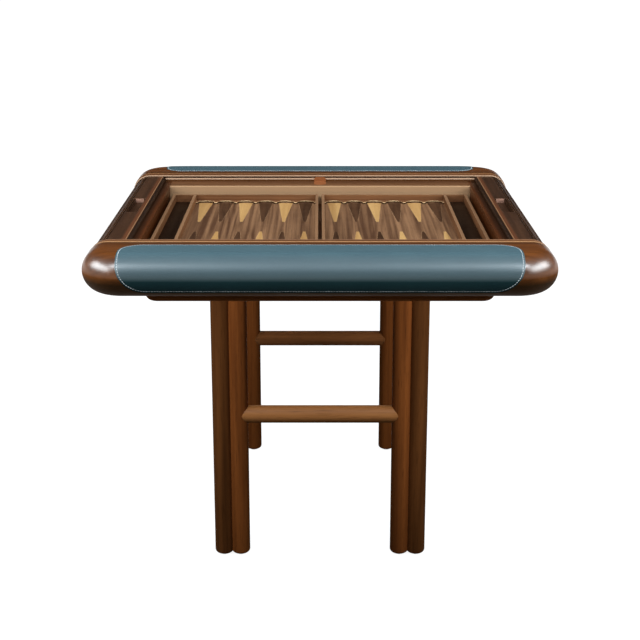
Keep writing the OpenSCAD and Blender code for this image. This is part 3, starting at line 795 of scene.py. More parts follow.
LEG_WALNUT = WoodFinish(
    "leg walnut",
    light=srgb(160, 94, 45), dark=srgb(108, 60, 28), pore=srgb(50, 27, 12), worn=srgb(160, 106, 62),
    rings=6.0, figure=0.4, pores=0.6, straightness=2.0, wear=0.3, smooth=0.6, rough=0.7, shine=0.015,
)
OUTER_LEG_WALNUT = replace(
    LEG_WALNUT, name="outer leg walnut", light=srgb(120, 74, 38), dark=srgb(78, 46, 23),
)
# The front stretcher is painted lighter than the legs, as painted light
FRONT_RAIL_WALNUT = replace(
    LEG_WALNUT, name="front stretcher walnut", light=srgb(176, 118, 68), dark=srgb(130, 80, 42),
    coat=0.5, coat_roughness=0.4, coat_ior=1.7, polished=(STRETCHER_TOP - 12 * MM, BEYOND),
)
# The rear stretcher is painted darker than the front one, as painted shade
REAR_RAIL_WALNUT = replace(
    FRONT_RAIL_WALNUT, name="rear stretcher walnut", light=srgb(112, 70, 39), dark=srgb(78, 47, 25),
)
LEDGE_WALNUT = WoodFinish(
    "ledge walnut",
    light=srgb(124, 83, 52), dark=srgb(88, 57, 35), pore=srgb(54, 34, 21), worn=srgb(136, 102, 72),
    rings=5.0, figure=0.35, pores=0.5, straightness=2.0, wear=0.25, arris=1.4 * MM, smooth=0.38, rough=0.5,
    # The band is painted light on the ledge's front face and the front of its top
    streaks=0.7, bands=(Band("Y", LEDGE_INNER - 1 * MM, LEDGE_INNER + 8 * MM, srgb(190, 154, 118)),),
)
CORE_WALNUT = WoodFinish(
    "core walnut",
    light=srgb(98, 53, 25), dark=srgb(62, 32, 14), pore=srgb(34, 18, 9), worn=srgb(140, 84, 46),
    rings=6.0, figure=0.4, pores=0.5, straightness=2.0, wear=0.5, smooth=0.26, rough=0.4,
    # The band is a painted shadow on the end core next to and under the lead rail
    bands=(Band("X", CORE_INNER + 8 * MM, BEYOND, srgb(44, 28, 18), share=0.75, soft=4 * MM),),
)
TRAY_WALNUT = WoodFinish(
    "tray walnut",
    # The pale edge colour is wear together with a painted highlight along the rims
    light=srgb(148, 102, 68), dark=srgb(102, 67, 44), pore=srgb(54, 34, 22), worn=srgb(212, 172, 130),
    rings=9.0, figure=0.35, pores=0.5, straightness=2.6, wear=0.9, arris=2.2 * MM, smooth=0.38, rough=0.52,
    # The band paints the wall tops lighter than their sides, as painted light from above
    streaks=0.6, bands=(Band("Z", TRAY_RIM - 0.4 * MM, BEYOND, srgb(142, 110, 82), share=0.6),),
)
NEST_WALNUT = replace(
    # The near-white edge colour is wear together with a painted highlight along the arcs
    TRAY_WALNUT, name="nest walnut", wear=1.0, arris=2.6 * MM, worn=srgb(246, 212, 164),
    bands=(
        # Painted shade on the strips' sides below the rim
        Band("Z", 0.0, NEST_TOP - 1.6 * MM, srgb(22, 12, 6), share=0.9),
        # Painted highlight on the rims where they face the players
        Band("Z", NEST_TOP - 1.6 * MM, NEST_TOP - 0.2 * MM, srgb(255, 218, 166), share=0.95,
             facing_players=True),
    ),
)
FIELD_WALNUT = replace(
    TRAY_WALNUT, name="field walnut", light=srgb(155, 117, 85), dark=srgb(84, 57, 40),
    rings=12.0, figure=0.3, streaks=0.85,
    # The compartments beyond the divider are coloured near black
    bands=(Band("X", DIVIDER_OUTER - 2.5 * MM, BEYOND, srgb(24, 12, 6), share=0.94),),
)
MAPLE = WoodFinish(
    "maple",
    light=srgb(204, 164, 106), dark=srgb(168, 126, 76), pore=srgb(150, 110, 66), worn=srgb(222, 184, 128),
    rings=5.0, figure=0.3, pores=0.3, straightness=2.0, wear=0.2, smooth=0.36, rough=0.48,
)
WENGE = WoodFinish(
    "wenge",
    light=srgb(90, 62, 43), dark=srgb(54, 35, 24), pore=srgb(32, 20, 13), worn=srgb(106, 76, 54),
    rings=12.0, figure=0.4, pores=0.7, straightness=2.0, wear=0.2, smooth=0.38, rough=0.52,
)
CHERRY = WoodFinish(
    "cherry",
    light=srgb(164, 102, 62), dark=srgb(136, 80, 47), pore=srgb(90, 50, 30), worn=srgb(190, 128, 86),
    rings=5.0, figure=0.3, pores=0.4, wear=0.4, smooth=0.34, rough=0.46,
)
BLUE_LEATHER = LeatherFinish(
    "blue leather",
    # The last colour is painted shade for the leather below its nose
    dye=srgb(79, 105, 114), shade=srgb(70, 95, 105), crease=srgb(40, 61, 69), unrubbed=srgb(26, 50, 53),
)
PALE_THREAD = ThreadFinish("pale thread", strand=srgb(232, 238, 240), shadow=srgb(178, 188, 192))
DARK_CANVAS = ClothFinish("dark canvas", warp=srgb(52, 46, 40), weft=srgb(36, 32, 28))
STEEL = MetalFinish("steel", bright=srgb(196, 196, 198), dull=srgb(150, 150, 152))
BRASS = MetalFinish("brass", bright=srgb(206, 172, 104), dull=srgb(150, 118, 66))
GLIDE_PLASTIC = PlasticFinish("glide plastic", body=srgb(38, 36, 35), scuff=srgb(92, 88, 84))


def dress(node: str, material: bpy.types.Material) -> None:
    """Gives a CAD node its material and reports it."""
    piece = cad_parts[node]
    for holder in piece.material_slots:
        holder.material = material
    log.info("%s: %s", node, material.name)


def add_piece(name: str, mesh: bpy.types.Mesh, material: bpy.types.Material | None = None
              ) -> bpy.types.Object:
    """Puts a finished mesh into the scene as a piece at the origin.

    Args:
        name: The piece's name.
        mesh: Its mesh, in metres in the table's frame.
        material: Its material, where the mesh has none.

    Returns:
        The new object.
    """
    piece = bpy.data.objects.new(name, mesh)
    bpy.context.scene.collection.objects.link(piece)
    if material is not None:
        mesh.materials.clear()
        mesh.materials.append(material)
    log.info("%s: %d faces", name, len(mesh.polygons))
    return piece


class RuleTree:
    """A geometry node tree that makes what repeats, with named inputs."""

    title = "rule"
    sizes: tuple[tuple[str, str], ...] = ()
    built: dict[str, bpy.types.NodeTree] = {}

    @classmethod
    def tree(cls) -> bpy.types.NodeTree:
        """Returns the tree, building it the first time."""
        if cls.title not in cls.built:
            group = bpy.data.node_groups.new(cls.title, "GeometryNodeTree")
            group.interface.new_socket("Geometry", in_out="INPUT", socket_type="NodeSocketGeometry")
            for name, kind in cls.sizes:
                group.interface.new_socket(name, in_out="INPUT", socket_type=kind)
            group.interface.new_socket("Material", in_out="INPUT", socket_type="NodeSocketMaterial")
            group.interface.new_socket("Geometry", in_out="OUTPUT", socket_type="NodeSocketGeometry")
            wiring = Wiring(group)
            given = group.nodes.new("NodeGroupInput").outputs
            leaving = group.nodes.new("NodeGroupOutput")
            instances = cls.rule(wiring, given)
            solid = wiring.add("GeometryNodeRealizeInstances", geometry=instances)
            painted = wiring.add("GeometryNodeSetMaterial", geometry=solid.outputs[0])
            wiring.feed(painted.inputs["Material"], given["Material"])
            group.links.new(painted.outputs[0], leaving.inputs[0])
            cls.built[cls.title] = group
        return cls.built[cls.title]

    @classmethod
    def rule(cls, wiring: Wiring, given: bpy.types.NodeOutputs) -> bpy.types.NodeSocket:
        """Wires the rule up to its instances. Each kind of tree has its own."""
        raise NotImplementedError

    @classmethod
    def make(cls, base: bpy.types.Mesh, material: bpy.types.Material, **values: float | int
             ) -> bpy.types.Mesh:
        """Runs the tree.

        Args:
            base: The mesh that the rule starts from, such as a path.
            material: The material of what it makes.
            values: A value for each size, under its name with underscores for spaces.

        Returns:
            A plain mesh with the result.
        """
        carrier = bpy.data.objects.new(cls.title, base)
        bpy.context.scene.collection.objects.link(carrier)
        modifier = carrier.modifiers.new(cls.title, "NODES")
        modifier.node_group = cls.tree()
        items = cls.tree().interface.items_tree
        sockets = {item.name: item.identifier for item in items if item.in_out == "INPUT"}
        for name, value in values.items():
            modifier[sockets[name.replace("_", " ")]] = value
        modifier[sockets["Material"]] = material
        depsgraph = bpy.context.evaluated_depsgraph_get()
        mesh = bpy.data.meshes.new_from_object(carrier.evaluated_get(depsgraph))
        bpy.data.objects.remove(carrier)
        return mesh


class StitchRule(RuleTree):
    """Stitches of equal length along a path, lying flat on the surface under it."""

    title = "stitches along a path"
    sizes = (
        ("Pitch", "NodeSocketFloat"),
        ("Length", "NodeSocketFloat"),
        ("Width", "NodeSocketFloat"),
        ("Height", "NodeSocketFloat"),
    )
    bead_segments = 8
    bead_rings = 5

    @classmethod
    def rule(cls, wiring: Wiring, given: bpy.types.NodeOutputs) -> bpy.types.NodeSocket:
        """Turns each stitch along the path and to the path's outward attribute."""
        curve = wiring.add("GeometryNodeMeshToCurve", mesh=given["Geometry"])
        points = wiring.add("GeometryNodeCurveToPoints", mode="LENGTH")
        wiring.feed(points.inputs["Curve"], curve.outputs[0])
        wiring.feed(points.inputs["Length"], given["Pitch"])
        outward = wiring.add("GeometryNodeInputNamedAttribute", data_type="FLOAT_VECTOR")
        outward.inputs["Name"].default_value = "outward"
        ahead = wiring.add("FunctionNodeAlignRotationToVector", axis="X")
        wiring.feed(ahead.inputs["Vector"], points.outputs["Tangent"])
        upright = wiring.add("FunctionNodeAlignRotationToVector", axis="Z", pivot_axis="X")
        wiring.feed(upright.inputs["Rotation"], ahead.outputs[0])
        wiring.feed(upright.inputs["Vector"], outward.outputs["Attribute"])
        bead = wiring.add("GeometryNodeMeshUVSphere")
        bead.inputs["Segments"].default_value = cls.bead_segments
        bead.inputs["Rings"].default_value = cls.bead_rings
        bead.inputs["Radius"].default_value = 0.5
        size = wiring.add("ShaderNodeCombineXYZ", x=given["Length"], y=given["Width"], z=given["Height"])
        stitch = wiring.add("GeometryNodeTransform")
        wiring.feed(stitch.inputs["Geometry"], bead.outputs["Mesh"])
        wiring.feed(stitch.inputs["Scale"], size.outputs[0])
        smooth = wiring.add("GeometryNodeSetShadeSmooth")
        wiring.feed(smooth.inputs[0], stitch.outputs[0])
        row = wiring.add("GeometryNodeInstanceOnPoints")
        wiring.feed(row.inputs["Points"], points.outputs["Points"])
        wiring.feed(row.inputs["Instance"], smooth.outputs[0])
        wiring.feed(row.inputs["Rotation"], upright.outputs[0])
        return row.outputs[0]


class SlatRule(RuleTree):
    """A run of slats that starts at the cut beside the first nose slat and goes back over the flat."""

    title = "slats along the groove"
    sizes = (
        ("Count", "NodeSocketInt"),
        ("Pitch", "NodeSocketFloat"),
        ("Start", "NodeSocketFloat"),
        ("Bend Radius", "NodeSocketFloat"),
        ("Bend X", "NodeSocketFloat"),
        ("Middle Z", "NodeSocketFloat"),
        ("Width", "NodeSocketFloat"),
        ("Thickness", "NodeSocketFloat"),
        ("Span", "NodeSocketFloat"),
        ("Edge Radius", "NodeSocketFloat"),
        ("Tongue Width", "NodeSocketFloat"),
        ("Tongue Thickness", "NodeSocketFloat"),
        ("Tongue Span", "NodeSocketFloat"),
    )
    arris_steps = 3
    # The tongue's arris as a share of the slat's
    tongue_arris = 0.25

    @classmethod
    def bar(cls, wiring: Wiring, width: object, thickness: object, span: object, radius: object,
            lift: object) -> bpy.types.NodeSocket:
        """Makes a bar along y with rounded arrises.

        Args:
            wiring: The tree.
            width: Its width along x.
            thickness: Its thickness along z.
            span: Its length along y.
            radius: The radius of its arrises.
            lift: The height of its middle.

        Returns:
            The bar's mesh.
        """
        half = wiring.math("MULTIPLY", span, 0.5)
        line = wiring.add("GeometryNodeCurvePrimitiveLine")
        near = wiring.add("ShaderNodeCombineXYZ", y=wiring.math("MULTIPLY", half, -1.0), z=lift)
        far = wiring.add("ShaderNodeCombineXYZ", y=half, z=lift)
        wiring.feed(line.inputs["Start"], near.outputs[0])
        wiring.feed(line.inputs["End"], far.outputs[0])
        section = wiring.add("GeometryNodeCurvePrimitiveQuadrilateral")
        wiring.feed(section.inputs["Width"], width)
        wiring.feed(section.inputs["Height"], thickness)
        fillet = wiring.add("GeometryNodeFilletCurve", mode="POLY")
        wiring.feed(fillet.inputs["Curve"], section.outputs[0])
        fillet.inputs["Count"].default_value = cls.arris_steps
        wiring.feed(fillet.inputs["Radius"], radius)
        swept = wiring.add("GeometryNodeCurveToMesh")
        wiring.feed(swept.inputs["Curve"], line.outputs[0])
        wiring.feed(swept.inputs["Profile Curve"], fillet.outputs[0])
        swept.inputs["Fill Caps"].default_value = True
        return swept.outputs[0]

    @classmethod
    def rule(cls, wiring: Wiring, given: bpy.types.NodeOutputs) -> bpy.types.NodeSocket:
        """Places each slat on the flat, or turned round the bend where its run is past it."""
        body_lift = wiring.math("MULTIPLY", given["Thickness"], 0.5)
        half_tongue = wiring.math("MULTIPLY", given["Tongue Thickness"], 0.5)
        tongue_lift = wiring.math("SUBTRACT", given["Thickness"], half_tongue)
        tongue_radius = wiring.math("MULTIPLY", given["Edge Radius"], cls.tongue_arris)
        body = cls.bar(
            wiring, given["Width"], given["Thickness"], given["Span"], given["Edge Radius"], body_lift)
        tongue = cls.bar(
            wiring, given["Tongue Width"], given["Tongue Thickness"], given["Tongue Span"], tongue_radius,
            tongue_lift)
        slat = wiring.add("GeometryNodeJoinGeometry")
        wiring.tree.links.new(tongue, slat.inputs[0])
        wiring.tree.links.new(body, slat.inputs[0])
        line = wiring.add("GeometryNodeMeshLine")
        wiring.feed(line.inputs["Count"], given["Count"])
        line.inputs["Offset"].default_value = (0.0, 0.0, 0.0)
        index = wiring.add("GeometryNodeInputIndex")
        steps = wiring.math("ADD", index.outputs[0], 0.5)
        run = wiring.math("SUBTRACT", given["Start"], wiring.math("MULTIPLY", steps, given["Pitch"]))
        turn = wiring.math("DIVIDE", wiring.math("MAXIMUM", run, 0.0), given["Bend Radius"])
        flat = wiring.math("MINIMUM", run, 0.0)
        reach = wiring.math("MULTIPLY", wiring.math("SINE", turn), given["Bend Radius"])
        rise = wiring.math("MULTIPLY", wiring.math("COSINE", turn), given["Bend Radius"])
        place_x = wiring.math("ADD", wiring.math("ADD", given["Bend X"], flat), reach)
        place_z = wiring.math("ADD", given["Middle Z"], rise)
        place = wiring.add("ShaderNodeCombineXYZ", x=place_x, z=place_z)
        spread = wiring.add("GeometryNodeSetPosition")
        wiring.feed(spread.inputs["Geometry"], line.outputs[0])
        wiring.feed(spread.inputs["Position"], place.outputs[0])
        angle = wiring.add("ShaderNodeCombineXYZ", y=turn)
        turned = wiring.add("FunctionNodeEulerToRotation")
        wiring.feed(turned.inputs[0], angle.outputs[0])
        row = wiring.add("GeometryNodeInstanceOnPoints")
        wiring.feed(row.inputs["Points"], spread.outputs[0])
        wiring.feed(row.inputs["Instance"], slat.outputs[0])
        wiring.feed(row.inputs["Rotation"], turned.outputs[0])
        return row.outputs[0]


@dataclass(frozen=True)
class Softbox:
    """A rectangular lamp, which may light only some parts or leave some out."""

    name: str
    place: Point
    aim: Point
    size: tuple[float, float]
    power: float
    tint: Point = WHITE[:3]
    spread: float = 180.0
    glossy: bool = True
    only: tuple[str, ...] = ()
    all_but: tuple[str, ...] = ()

    def limit(self, lamp: bpy.types.Object, nodes: tuple[str, ...], state: str) -> None:
        """Lets the lamp light only some parts, or all but those, as a photographer does with black cards.

        Args:
            lamp: The lamp.
            nodes: The parts.
            state: INCLUDE or EXCLUDE.
        """
        group = bpy.data.collections.new(f"parts for {self.name}")
        for node in nodes:
            group.objects.link(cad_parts[node])
        for member in group.collection_objects:
            member.light_linking.link_state = state
        lamp.light_linking.receiver_collection = group

    def hang(self) -> None:
        """Hangs the lamp where the camera doesn't see it."""
        data = bpy.data.lights.new(self.name, "AREA")
        data.shape = "RECTANGLE"
        data.size, data.size_y = self.size
        data.energy = self.power
        data.color = self.tint
        data.spread = math.radians(self.spread)
        lamp = bpy.data.objects.new(self.name, data)
        lamp.location = self.place
        lamp.rotation_euler = (Vector(self.aim) - Vector(self.place)).to_track_quat("-Z", "Y").to_euler()
        lamp.visible_camera = False
        lamp.visible_glossy = self.glossy
        if self.only:
            self.limit(lamp, self.only, "INCLUDE")
        if self.all_but:
            self.limit(lamp, self.all_but, "EXCLUDE")
        bpy.context.scene.collection.objects.link(lamp)


@dataclass(frozen=True)
class Studio:
    """The camera, the lamps and the pale floor."""

    camera_place: Point = (0.0, -3.316, 1.434)
    camera_dip: float = 16.25
    lens: float = 78.75
    film_width: float = 36.0
    sight: float = 400.0
    floor_size: float = 120.0
    floor_glow: float = 0.92
    glow_fade: tuple[float, float] = (1.5, 5.0)
    floor_seen: Colour = (0.25, 0.25, 0.25, 1.0)
    floor_bounce: Colour = (0.07, 0.07, 0.07, 1.0)
    dome_heights: tuple[float, float] = (0.2, 1.0)
    dome_strengths: tuple[float, float] = (0.01, 0.46)
    horizon: float = 0.06
    ceiling: float = 0.03

    def build(self) -> None:
        """Makes the whole studio."""
        self.camera()
        self.floor()
        self.sky()
        for lamp in self.lamps():
            lamp.hang()
        bpy.context.scene.view_settings.view_transform = "Standard"
        log.info("studio: camera, floor and lamps")

    def lamps(self) -> Iterator[Softbox]:
        """Lists the lamps over the top and beside it, at the legs and over the front stretcher.

        Yields:
            Each lamp.
        """
        legs = tuple(column for side in Side for column in self.columns(side))
        for side in Side:
            x = side.value
            yield Softbox(
                f"{side.word}_key", (1.25 * x, -2.0, 2.8), (0.38 * x, -0.5, 0.72), (0.7, 0.5), 19.0,
                tint=(0.86, 0.94, 1.0), all_but=legs)
            yield Softbox(
                f"{side.word}_side", (2.0 * x, -1.0, 1.7), (0.45 * x, -0.5, 0.74), (2.1, 0.8), 41.0,
                tint=(0.92, 0.97, 1.0), all_but=legs)
            for player in Player:
                y = player.value
                yield Softbox(
                    f"{player.word}_{side.word}_low", (0.95 * x, 2.1 * y, 0.8), (0.22 * x, 0.33 * y, 0.8),
                    (0.6, 0.4), 2.9, spread=60.0, only=(*self.columns(side), "rear_stretcher"))
        yield Softbox(
            "stretcher_lamp", (0.0, -2.4, 2.2), (0.0, -0.33, 0.33), (1.2, 0.3), 5.2,
            only=("front_stretcher",))
        yield Softbox("overhead", (0.0, -0.15, 3.3), (0.0, -0.15, 0.7), (2.6, 1.3), 22.5, glossy=False)
        yield Softbox("rear_fill", (0.0, 1.8, 3.0), (0.0, 0.2, 0.6), (2.4, 0.8), 10.0, glossy=False)

    def camera(self) -> None:
        """Sets the camera where the photograph was taken from."""
        data = bpy.data.cameras.new("camera")
        data.lens = self.lens
        data.sensor_width = self.film_width
        data.clip_end = self.sight
        camera = bpy.data.objects.new("camera", data)
        camera.location = self.camera_place
        camera.rotation_euler = (math.radians(90 - self.camera_dip), 0.0, 0.0)
        bpy.context.scene.collection.objects.link(camera)
        bpy.context.scene.camera = camera

    def background_rays(self, wiring: Wiring) -> bpy.types.NodeSocket:
        """Gives 1 for the rays that show the background: the camera's, and those through gloss and glass."""
        path = wiring.tree.nodes.new("ShaderNodeLightPath")
        clear = wiring.math("MAXIMUM", path.outputs["Is Camera Ray"], path.outputs["Is Transmission Ray"])
        return wiring.math("MAXIMUM", clear, path.outputs["Is Glossy Ray"])

    def floor(self) -> None:
        """Lays a white floor that keeps the table's shadow and throws little light back up."""
        mesh = bpy.data.meshes.new("floor")
        half = self.floor_size / 2
        corners = [(-half, -half, 0.0), (half, -half, 0.0), (half, half, 0.0), (-half, half, 0.0)]
        mesh.from_pydata(corners, [], [(0, 1, 2, 3)])
        material = bpy.data.materials.new("white floor")
        material.use_nodes = True
        tree = material.node_tree
        tree.nodes.clear()
        wiring = Wiring(tree)
        coordinates = tree.nodes.new("ShaderNodeTexCoord")
        away = tree.nodes.new("ShaderNodeVectorMath")
        away.operation = "LENGTH"
        wiring.feed(away.inputs[0], coordinates.outputs["Object"])
        strength = wiring.ramp(away.outputs["Value"], *self.glow_fade, self.floor_glow, 1.0)
        glow = wiring.add("ShaderNodeEmission", color=WHITE, strength=strength)
        lit = wiring.add("ShaderNodeBsdfDiffuse", color=self.floor_seen)
        seen = tree.nodes.new("ShaderNodeAddShader")
        wiring.feed(seen.inputs[0], glow.outputs[0])
        wiring.feed(seen.inputs[1], lit.outputs[0])
        bounce = wiring.add("ShaderNodeBsdfDiffuse", color=self.floor_bounce)
        mix = tree.nodes.new("ShaderNodeMixShader")
        output = tree.nodes.new("ShaderNodeOutputMaterial")
        wiring.feed(mix.inputs[0], self.background_rays(wiring))
        wiring.feed(mix.inputs[1], bounce.outputs[0])
        wiring.feed(mix.inputs[2], seen.outputs[0])
        tree.links.new(mix.outputs[0], output.inputs[0])
        mesh.materials.append(material)
        add_piece("floor", mesh)

    def sky(self) -> None:
        """Makes the world white to the camera, and a soft dome that darkens downwards for the table."""
        world = bpy.data.worlds.new("studio")
        bpy.context.scene.world = world
        world.use_nodes = True
        tree = world.node_tree
        tree.nodes.clear()
        wiring = Wiring(tree)
        direction = tree.nodes.new("ShaderNodeTexCoord")
        parts = tree.nodes.new("ShaderNodeSeparateXYZ")
        tree.links.new(direction.outputs["Generated"], parts.inputs[0])
        path = tree.nodes.new("ShaderNodeLightPath")
        dome = wiring.add("ShaderNodeBackground", color=WHITE)
        shade = wiring.ramp(parts.outputs["Z"], *self.dome_heights, *self.dome_strengths)
        wiring.feed(dome.inputs["Strength"], shade)
        sweep = wiring.ramp(parts.outputs["Z"], 0.0, self.horizon, 1.0, self.ceiling)
        white = wiring.add("ShaderNodeBackground", color=WHITE)
        clear = wiring.math("MAXIMUM", path.outputs["Is Camera Ray"], path.outputs["Is Transmission Ray"])
        wiring.feed(white.inputs["Strength"], wiring.math("MAXIMUM", clear, sweep))
        mix = tree.nodes.new("ShaderNodeMixShader")
        output = tree.nodes.new("ShaderNodeOutputWorld")
        wiring.feed(mix.inputs[0], self.background_rays(wiring))
        wiring.feed(mix.inputs[1], dome.outputs[0])
        wiring.feed(mix.inputs[2], white.outputs[0])
        tree.links.new(mix.outputs[0], output.inputs[0])

    def columns(self, side: Side) -> tuple[str, ...]:
        """Names the columns of the two legs on one side."""
        places = ("outer", "inner")
        return tuple(f"{player.word}_{side.word}_{place}_column" for player in Player for place in places)


@dataclass(frozen=True)
class LeatherArmrest:
    """One stitched leather pad, let into its armrest and wrapped round the nose."""

    player: Player
    half_length: float = LEATHER_X
    inner_y: float = LEATHER_INNER
    wrap: float = 44.0
    top_corner: float = 50 * MM
    low_corner: float = 62 * MM
    thickness: float = 2.3 * MM
    tuck: float = 0.9 * MM
    edge_rise: float = 0.45 * MM
    edge_reach: float = 0.8 * MM
    crown: float = 1.3 * MM
    crown_reach: float = 16 * MM
    seam: float = 4.2 * MM
    seam_depth: float = 0.5 * MM
    seam_reach: float = 0.9 * MM
    stitch: Point = (4.4 * MM, 1.6 * MM, 1.1 * MM)
    stitch_pitch: float = 5.6 * MM
    stitch_lift: float = 0.15 * MM
    # Distances from the pad's edge of the mesh's points beside it, in millimetres
    edge_steps: tuple[float, ...] = (
        0, 0.4, 0.9, 1.5, 2.2, 3.0, 3.6, 4.2, 4.8, 5.6, 7, 9, 12, 16, 21, 28, 36,
    )
    middle_columns: int = 72
    row_step: float = 3.2 * MM
    corner_steps: int = 14
    rise_steps: int = 12

    @property
    def flat(self) -> float:
        """The pad's width on the flat top, up to where the nose begins."""
        return TOP_Y - NOSE - self.inner_y

    @property
    def girth(self) -> float:
        """The pad's width from its inner edge, round the nose, to its lower edge."""
        return self.flat + NOSE * math.radians(90 + self.wrap)

    def surface(self, x: float, run: float, lift: float) -> tuple[Vector, Vector]:
        """Finds a point on the armrest's skin.

        Args:
            x: The place along the armrest.
            run: The distance from the pad's inner edge, over the nose.
            lift: The distance above the skin.

        Returns:
            The point and the outward direction there.
        """
        if run <= self.flat:
            y, z, out_y, out_z = self.inner_y + run, TOP_Z, 0.0, 1.0
        else:
            angle = math.pi / 2 - (run - self.flat) / NOSE
            out_y, out_z = math.cos(angle), math.sin(angle)
            y = TOP_Y - NOSE + NOSE * out_y
            z = NOSE_Z + NOSE * out_z
        sign = self.player.value
        out = Vector((0.0, sign * out_y, out_z))
        return Vector((x, sign * y, z)) + out * lift, out

    def height_over_edge(self, run: float) -> float:
        """Gives a run's height over the pad's lower edge."""
        low_z = NOSE_Z - NOSE * math.sin(math.radians(self.wrap))
        return self.surface(0.0, run, 0.0)[0].z - low_z

    def corners(self, run: float) -> tuple[tuple[float, float], tuple[float, float]]:
        """Gives a run's distance from the inner and the lower edge, each with its corner radius."""
        return (run, self.top_corner), (self.height_over_edge(run), self.low_corner)

    def row_half(self, run: float) -> float:
        """Gives half the pad's length at a run, with its corners rounded."""
        half = self.half_length
        for depth, corner in self.corners(run):
            if depth < corner:
                drop = corner - max(depth, 0.0)
                rounded = math.sqrt(max(corner ** 2 - drop ** 2, 0.0))
                half = min(half, self.half_length - corner + rounded)
        return half

    def edge_distance(self, x: float, run: float) -> float:
        """Gives the distance from a point of the pad to its outline."""
        from_side = self.half_length - abs(x)
        found = []
        for depth, corner in self.corners(run):
            if from_side < corner and depth < corner:
                found.append(corner - math.hypot(corner - from_side, corner - depth))
            else:
                found.append(min(from_side, depth))
        return max(min(found), 0.0)

    def relief(self, distance: float) -> float:
        """Gives the leather's height over the wood: tucked in at its edge, sunk at the seam, then full."""
        edge = 1 - math.exp(-distance / self.edge_reach)
        fullness = 1 - math.exp(-distance / self.crown_reach)
        groove = math.exp(-((distance - self.seam) / self.seam_reach) ** 2)
        rise = (self.tuck + self.edge_rise) * edge + self.crown * fullness
        return rise - self.tuck - self.seam_depth * groove

    def spaced(self, low: float, high: float, count: int) -> list[float]:
        """Lists places that lie close together near both ends of a stretch.

        Args:
            low: Where the stretch begins.
            high: Where it ends.
            count: The number of equal steps in its middle.

        Returns:
            The places, from low to high.
        """
        margin = [step * MM for step in self.edge_steps]
        width = (high - low - 2 * margin[-1]) / count
        middle = [low + margin[-1] + width * number for number in range(1, count)]
        return [low + step for step in margin] + middle + [high - step for step in reversed(margin)]

    def rows(self) -> list[float]:
        """Lists the runs of the mesh's rows."""
        between = self.girth - 2 * self.edge_steps[-1] * MM
        return self.spaced(0.0, self.girth, max(int(between / self.row_step), 1))

    def pad_mesh(self) -> bpy.types.Mesh:
        """Builds the pad as a closed shell."""
        made = bmesh.new()
        layers = []
        for under in (False, True):
            grid = []
            for run in self.rows():
                half = self.row_half(run)
                row = []
                for x in self.spaced(-half, half, self.middle_columns):
                    lift = -self.thickness if under else self.relief(self.edge_distance(x, run))
                    row.append(made.verts.new(self.surface(x, run, lift)[0]))
                grid.append(row)
            layers.append(grid)
        top, bottom = layers
        last_row, last_column = len(top) - 1, len(top[0]) - 1
        for row in range(last_row):
            for column in range(last_column):
                for grid in layers:
                    here, after = grid[row], grid[row + 1]
                    made.faces.new((here[column], here[column + 1], after[column + 1], after[column]))
        rim = [(0, column) for column in range(last_column)]
        rim += [(row, last_column) for row in range(last_row)]
        rim += [(last_row, column) for column in range(last_column, 0, -1)]
        rim += [(row, 0) for row in range(last_row, 0, -1)]
        for (row, column), (next_row, next_column) in zip(rim, rim[1:] + rim[:1]):
            made.faces.new((top[row][column], bottom[row][column],
                            bottom[next_row][next_column], top[next_row][next_column]))
        bmesh.ops.recalc_face_normals(made, faces=made.faces)
        for polygon in made.faces:
            polygon.smooth = True
        mesh = bpy.data.meshes.new(f"{self.player.word}_leather_pad")
        made.to_mesh(mesh)
        made.free()
        return mesh

    def seam_path(self) -> bpy.types.Mesh:
        """Lays the stitching line as a closed path with its outward directions."""
        turns = [math.pi / 2 * number / self.corner_steps for number in range(self.corner_steps + 1)]
        top_x, top_r = self.half_length - self.top_corner, self.top_corner - self.seam
        low_x, low_r = self.half_length - self.low_corner, self.low_corner - self.seam
        rise = self.run_at_height(self.low_corner) - self.top_corner
        right = []
        for turn in turns:
            right.append((top_x + top_r * math.sin(turn), self.top_corner - top_r * math.cos(turn)))
        for number in range(1, self.rise_steps):
            right.append((self.half_length - self.seam, self.top_corner + rise * number / self.rise_steps))
        for turn in turns:
            height = self.low_corner - low_r * math.sin(turn)
            right.append((low_x + low_r * math.cos(turn), self.run_at_height(height)))
        places = right + [(-x, run) for x, run in reversed(right)]
        mesh = bpy.data.meshes.new("seam path")
        lift = self.relief(self.seam) + self.stitch_lift
        found = [self.surface(x, run, lift) for x, run in places]
        count = len(found)
        mesh.from_pydata([point for point, _ in found], [(n, (n + 1) % count) for n in range(count)], [])
        outward = mesh.attributes.new("outward", "FLOAT_VECTOR", "POINT")
        for number, (_, out) in enumerate(found):
            outward.data[number].vector = out
        return mesh

    def run_at_height(self, height: float) -> float:
        """Finds the run that lies this high over the pad's lower edge."""
        low, high = self.flat, self.girth
        for _ in range(HALVINGS):
            middle = (low + high) / 2
            if self.height_over_edge(middle) > height:
                low = middle
            else:
                high = middle
        return (low + high) / 2

    def build(self, leather: bpy.types.Material, thread: bpy.types.Material) -> None:
        """Makes the pad and its stitching."""
        word = self.player.word
        pad = add_piece(f"{word}_leather_pad", self.pad_mesh(), leather)
        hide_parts(f"{word}_leather")
        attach(pad, "table")
        length, width, height = self.stitch
        mesh = StitchRule.make(
            self.seam_path(), thread, Pitch=self.stitch_pitch, Length=length, Width=width, Height=height)
        stitching = add_piece(f"{word}_stitching", mesh)
        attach(stitching, "table")


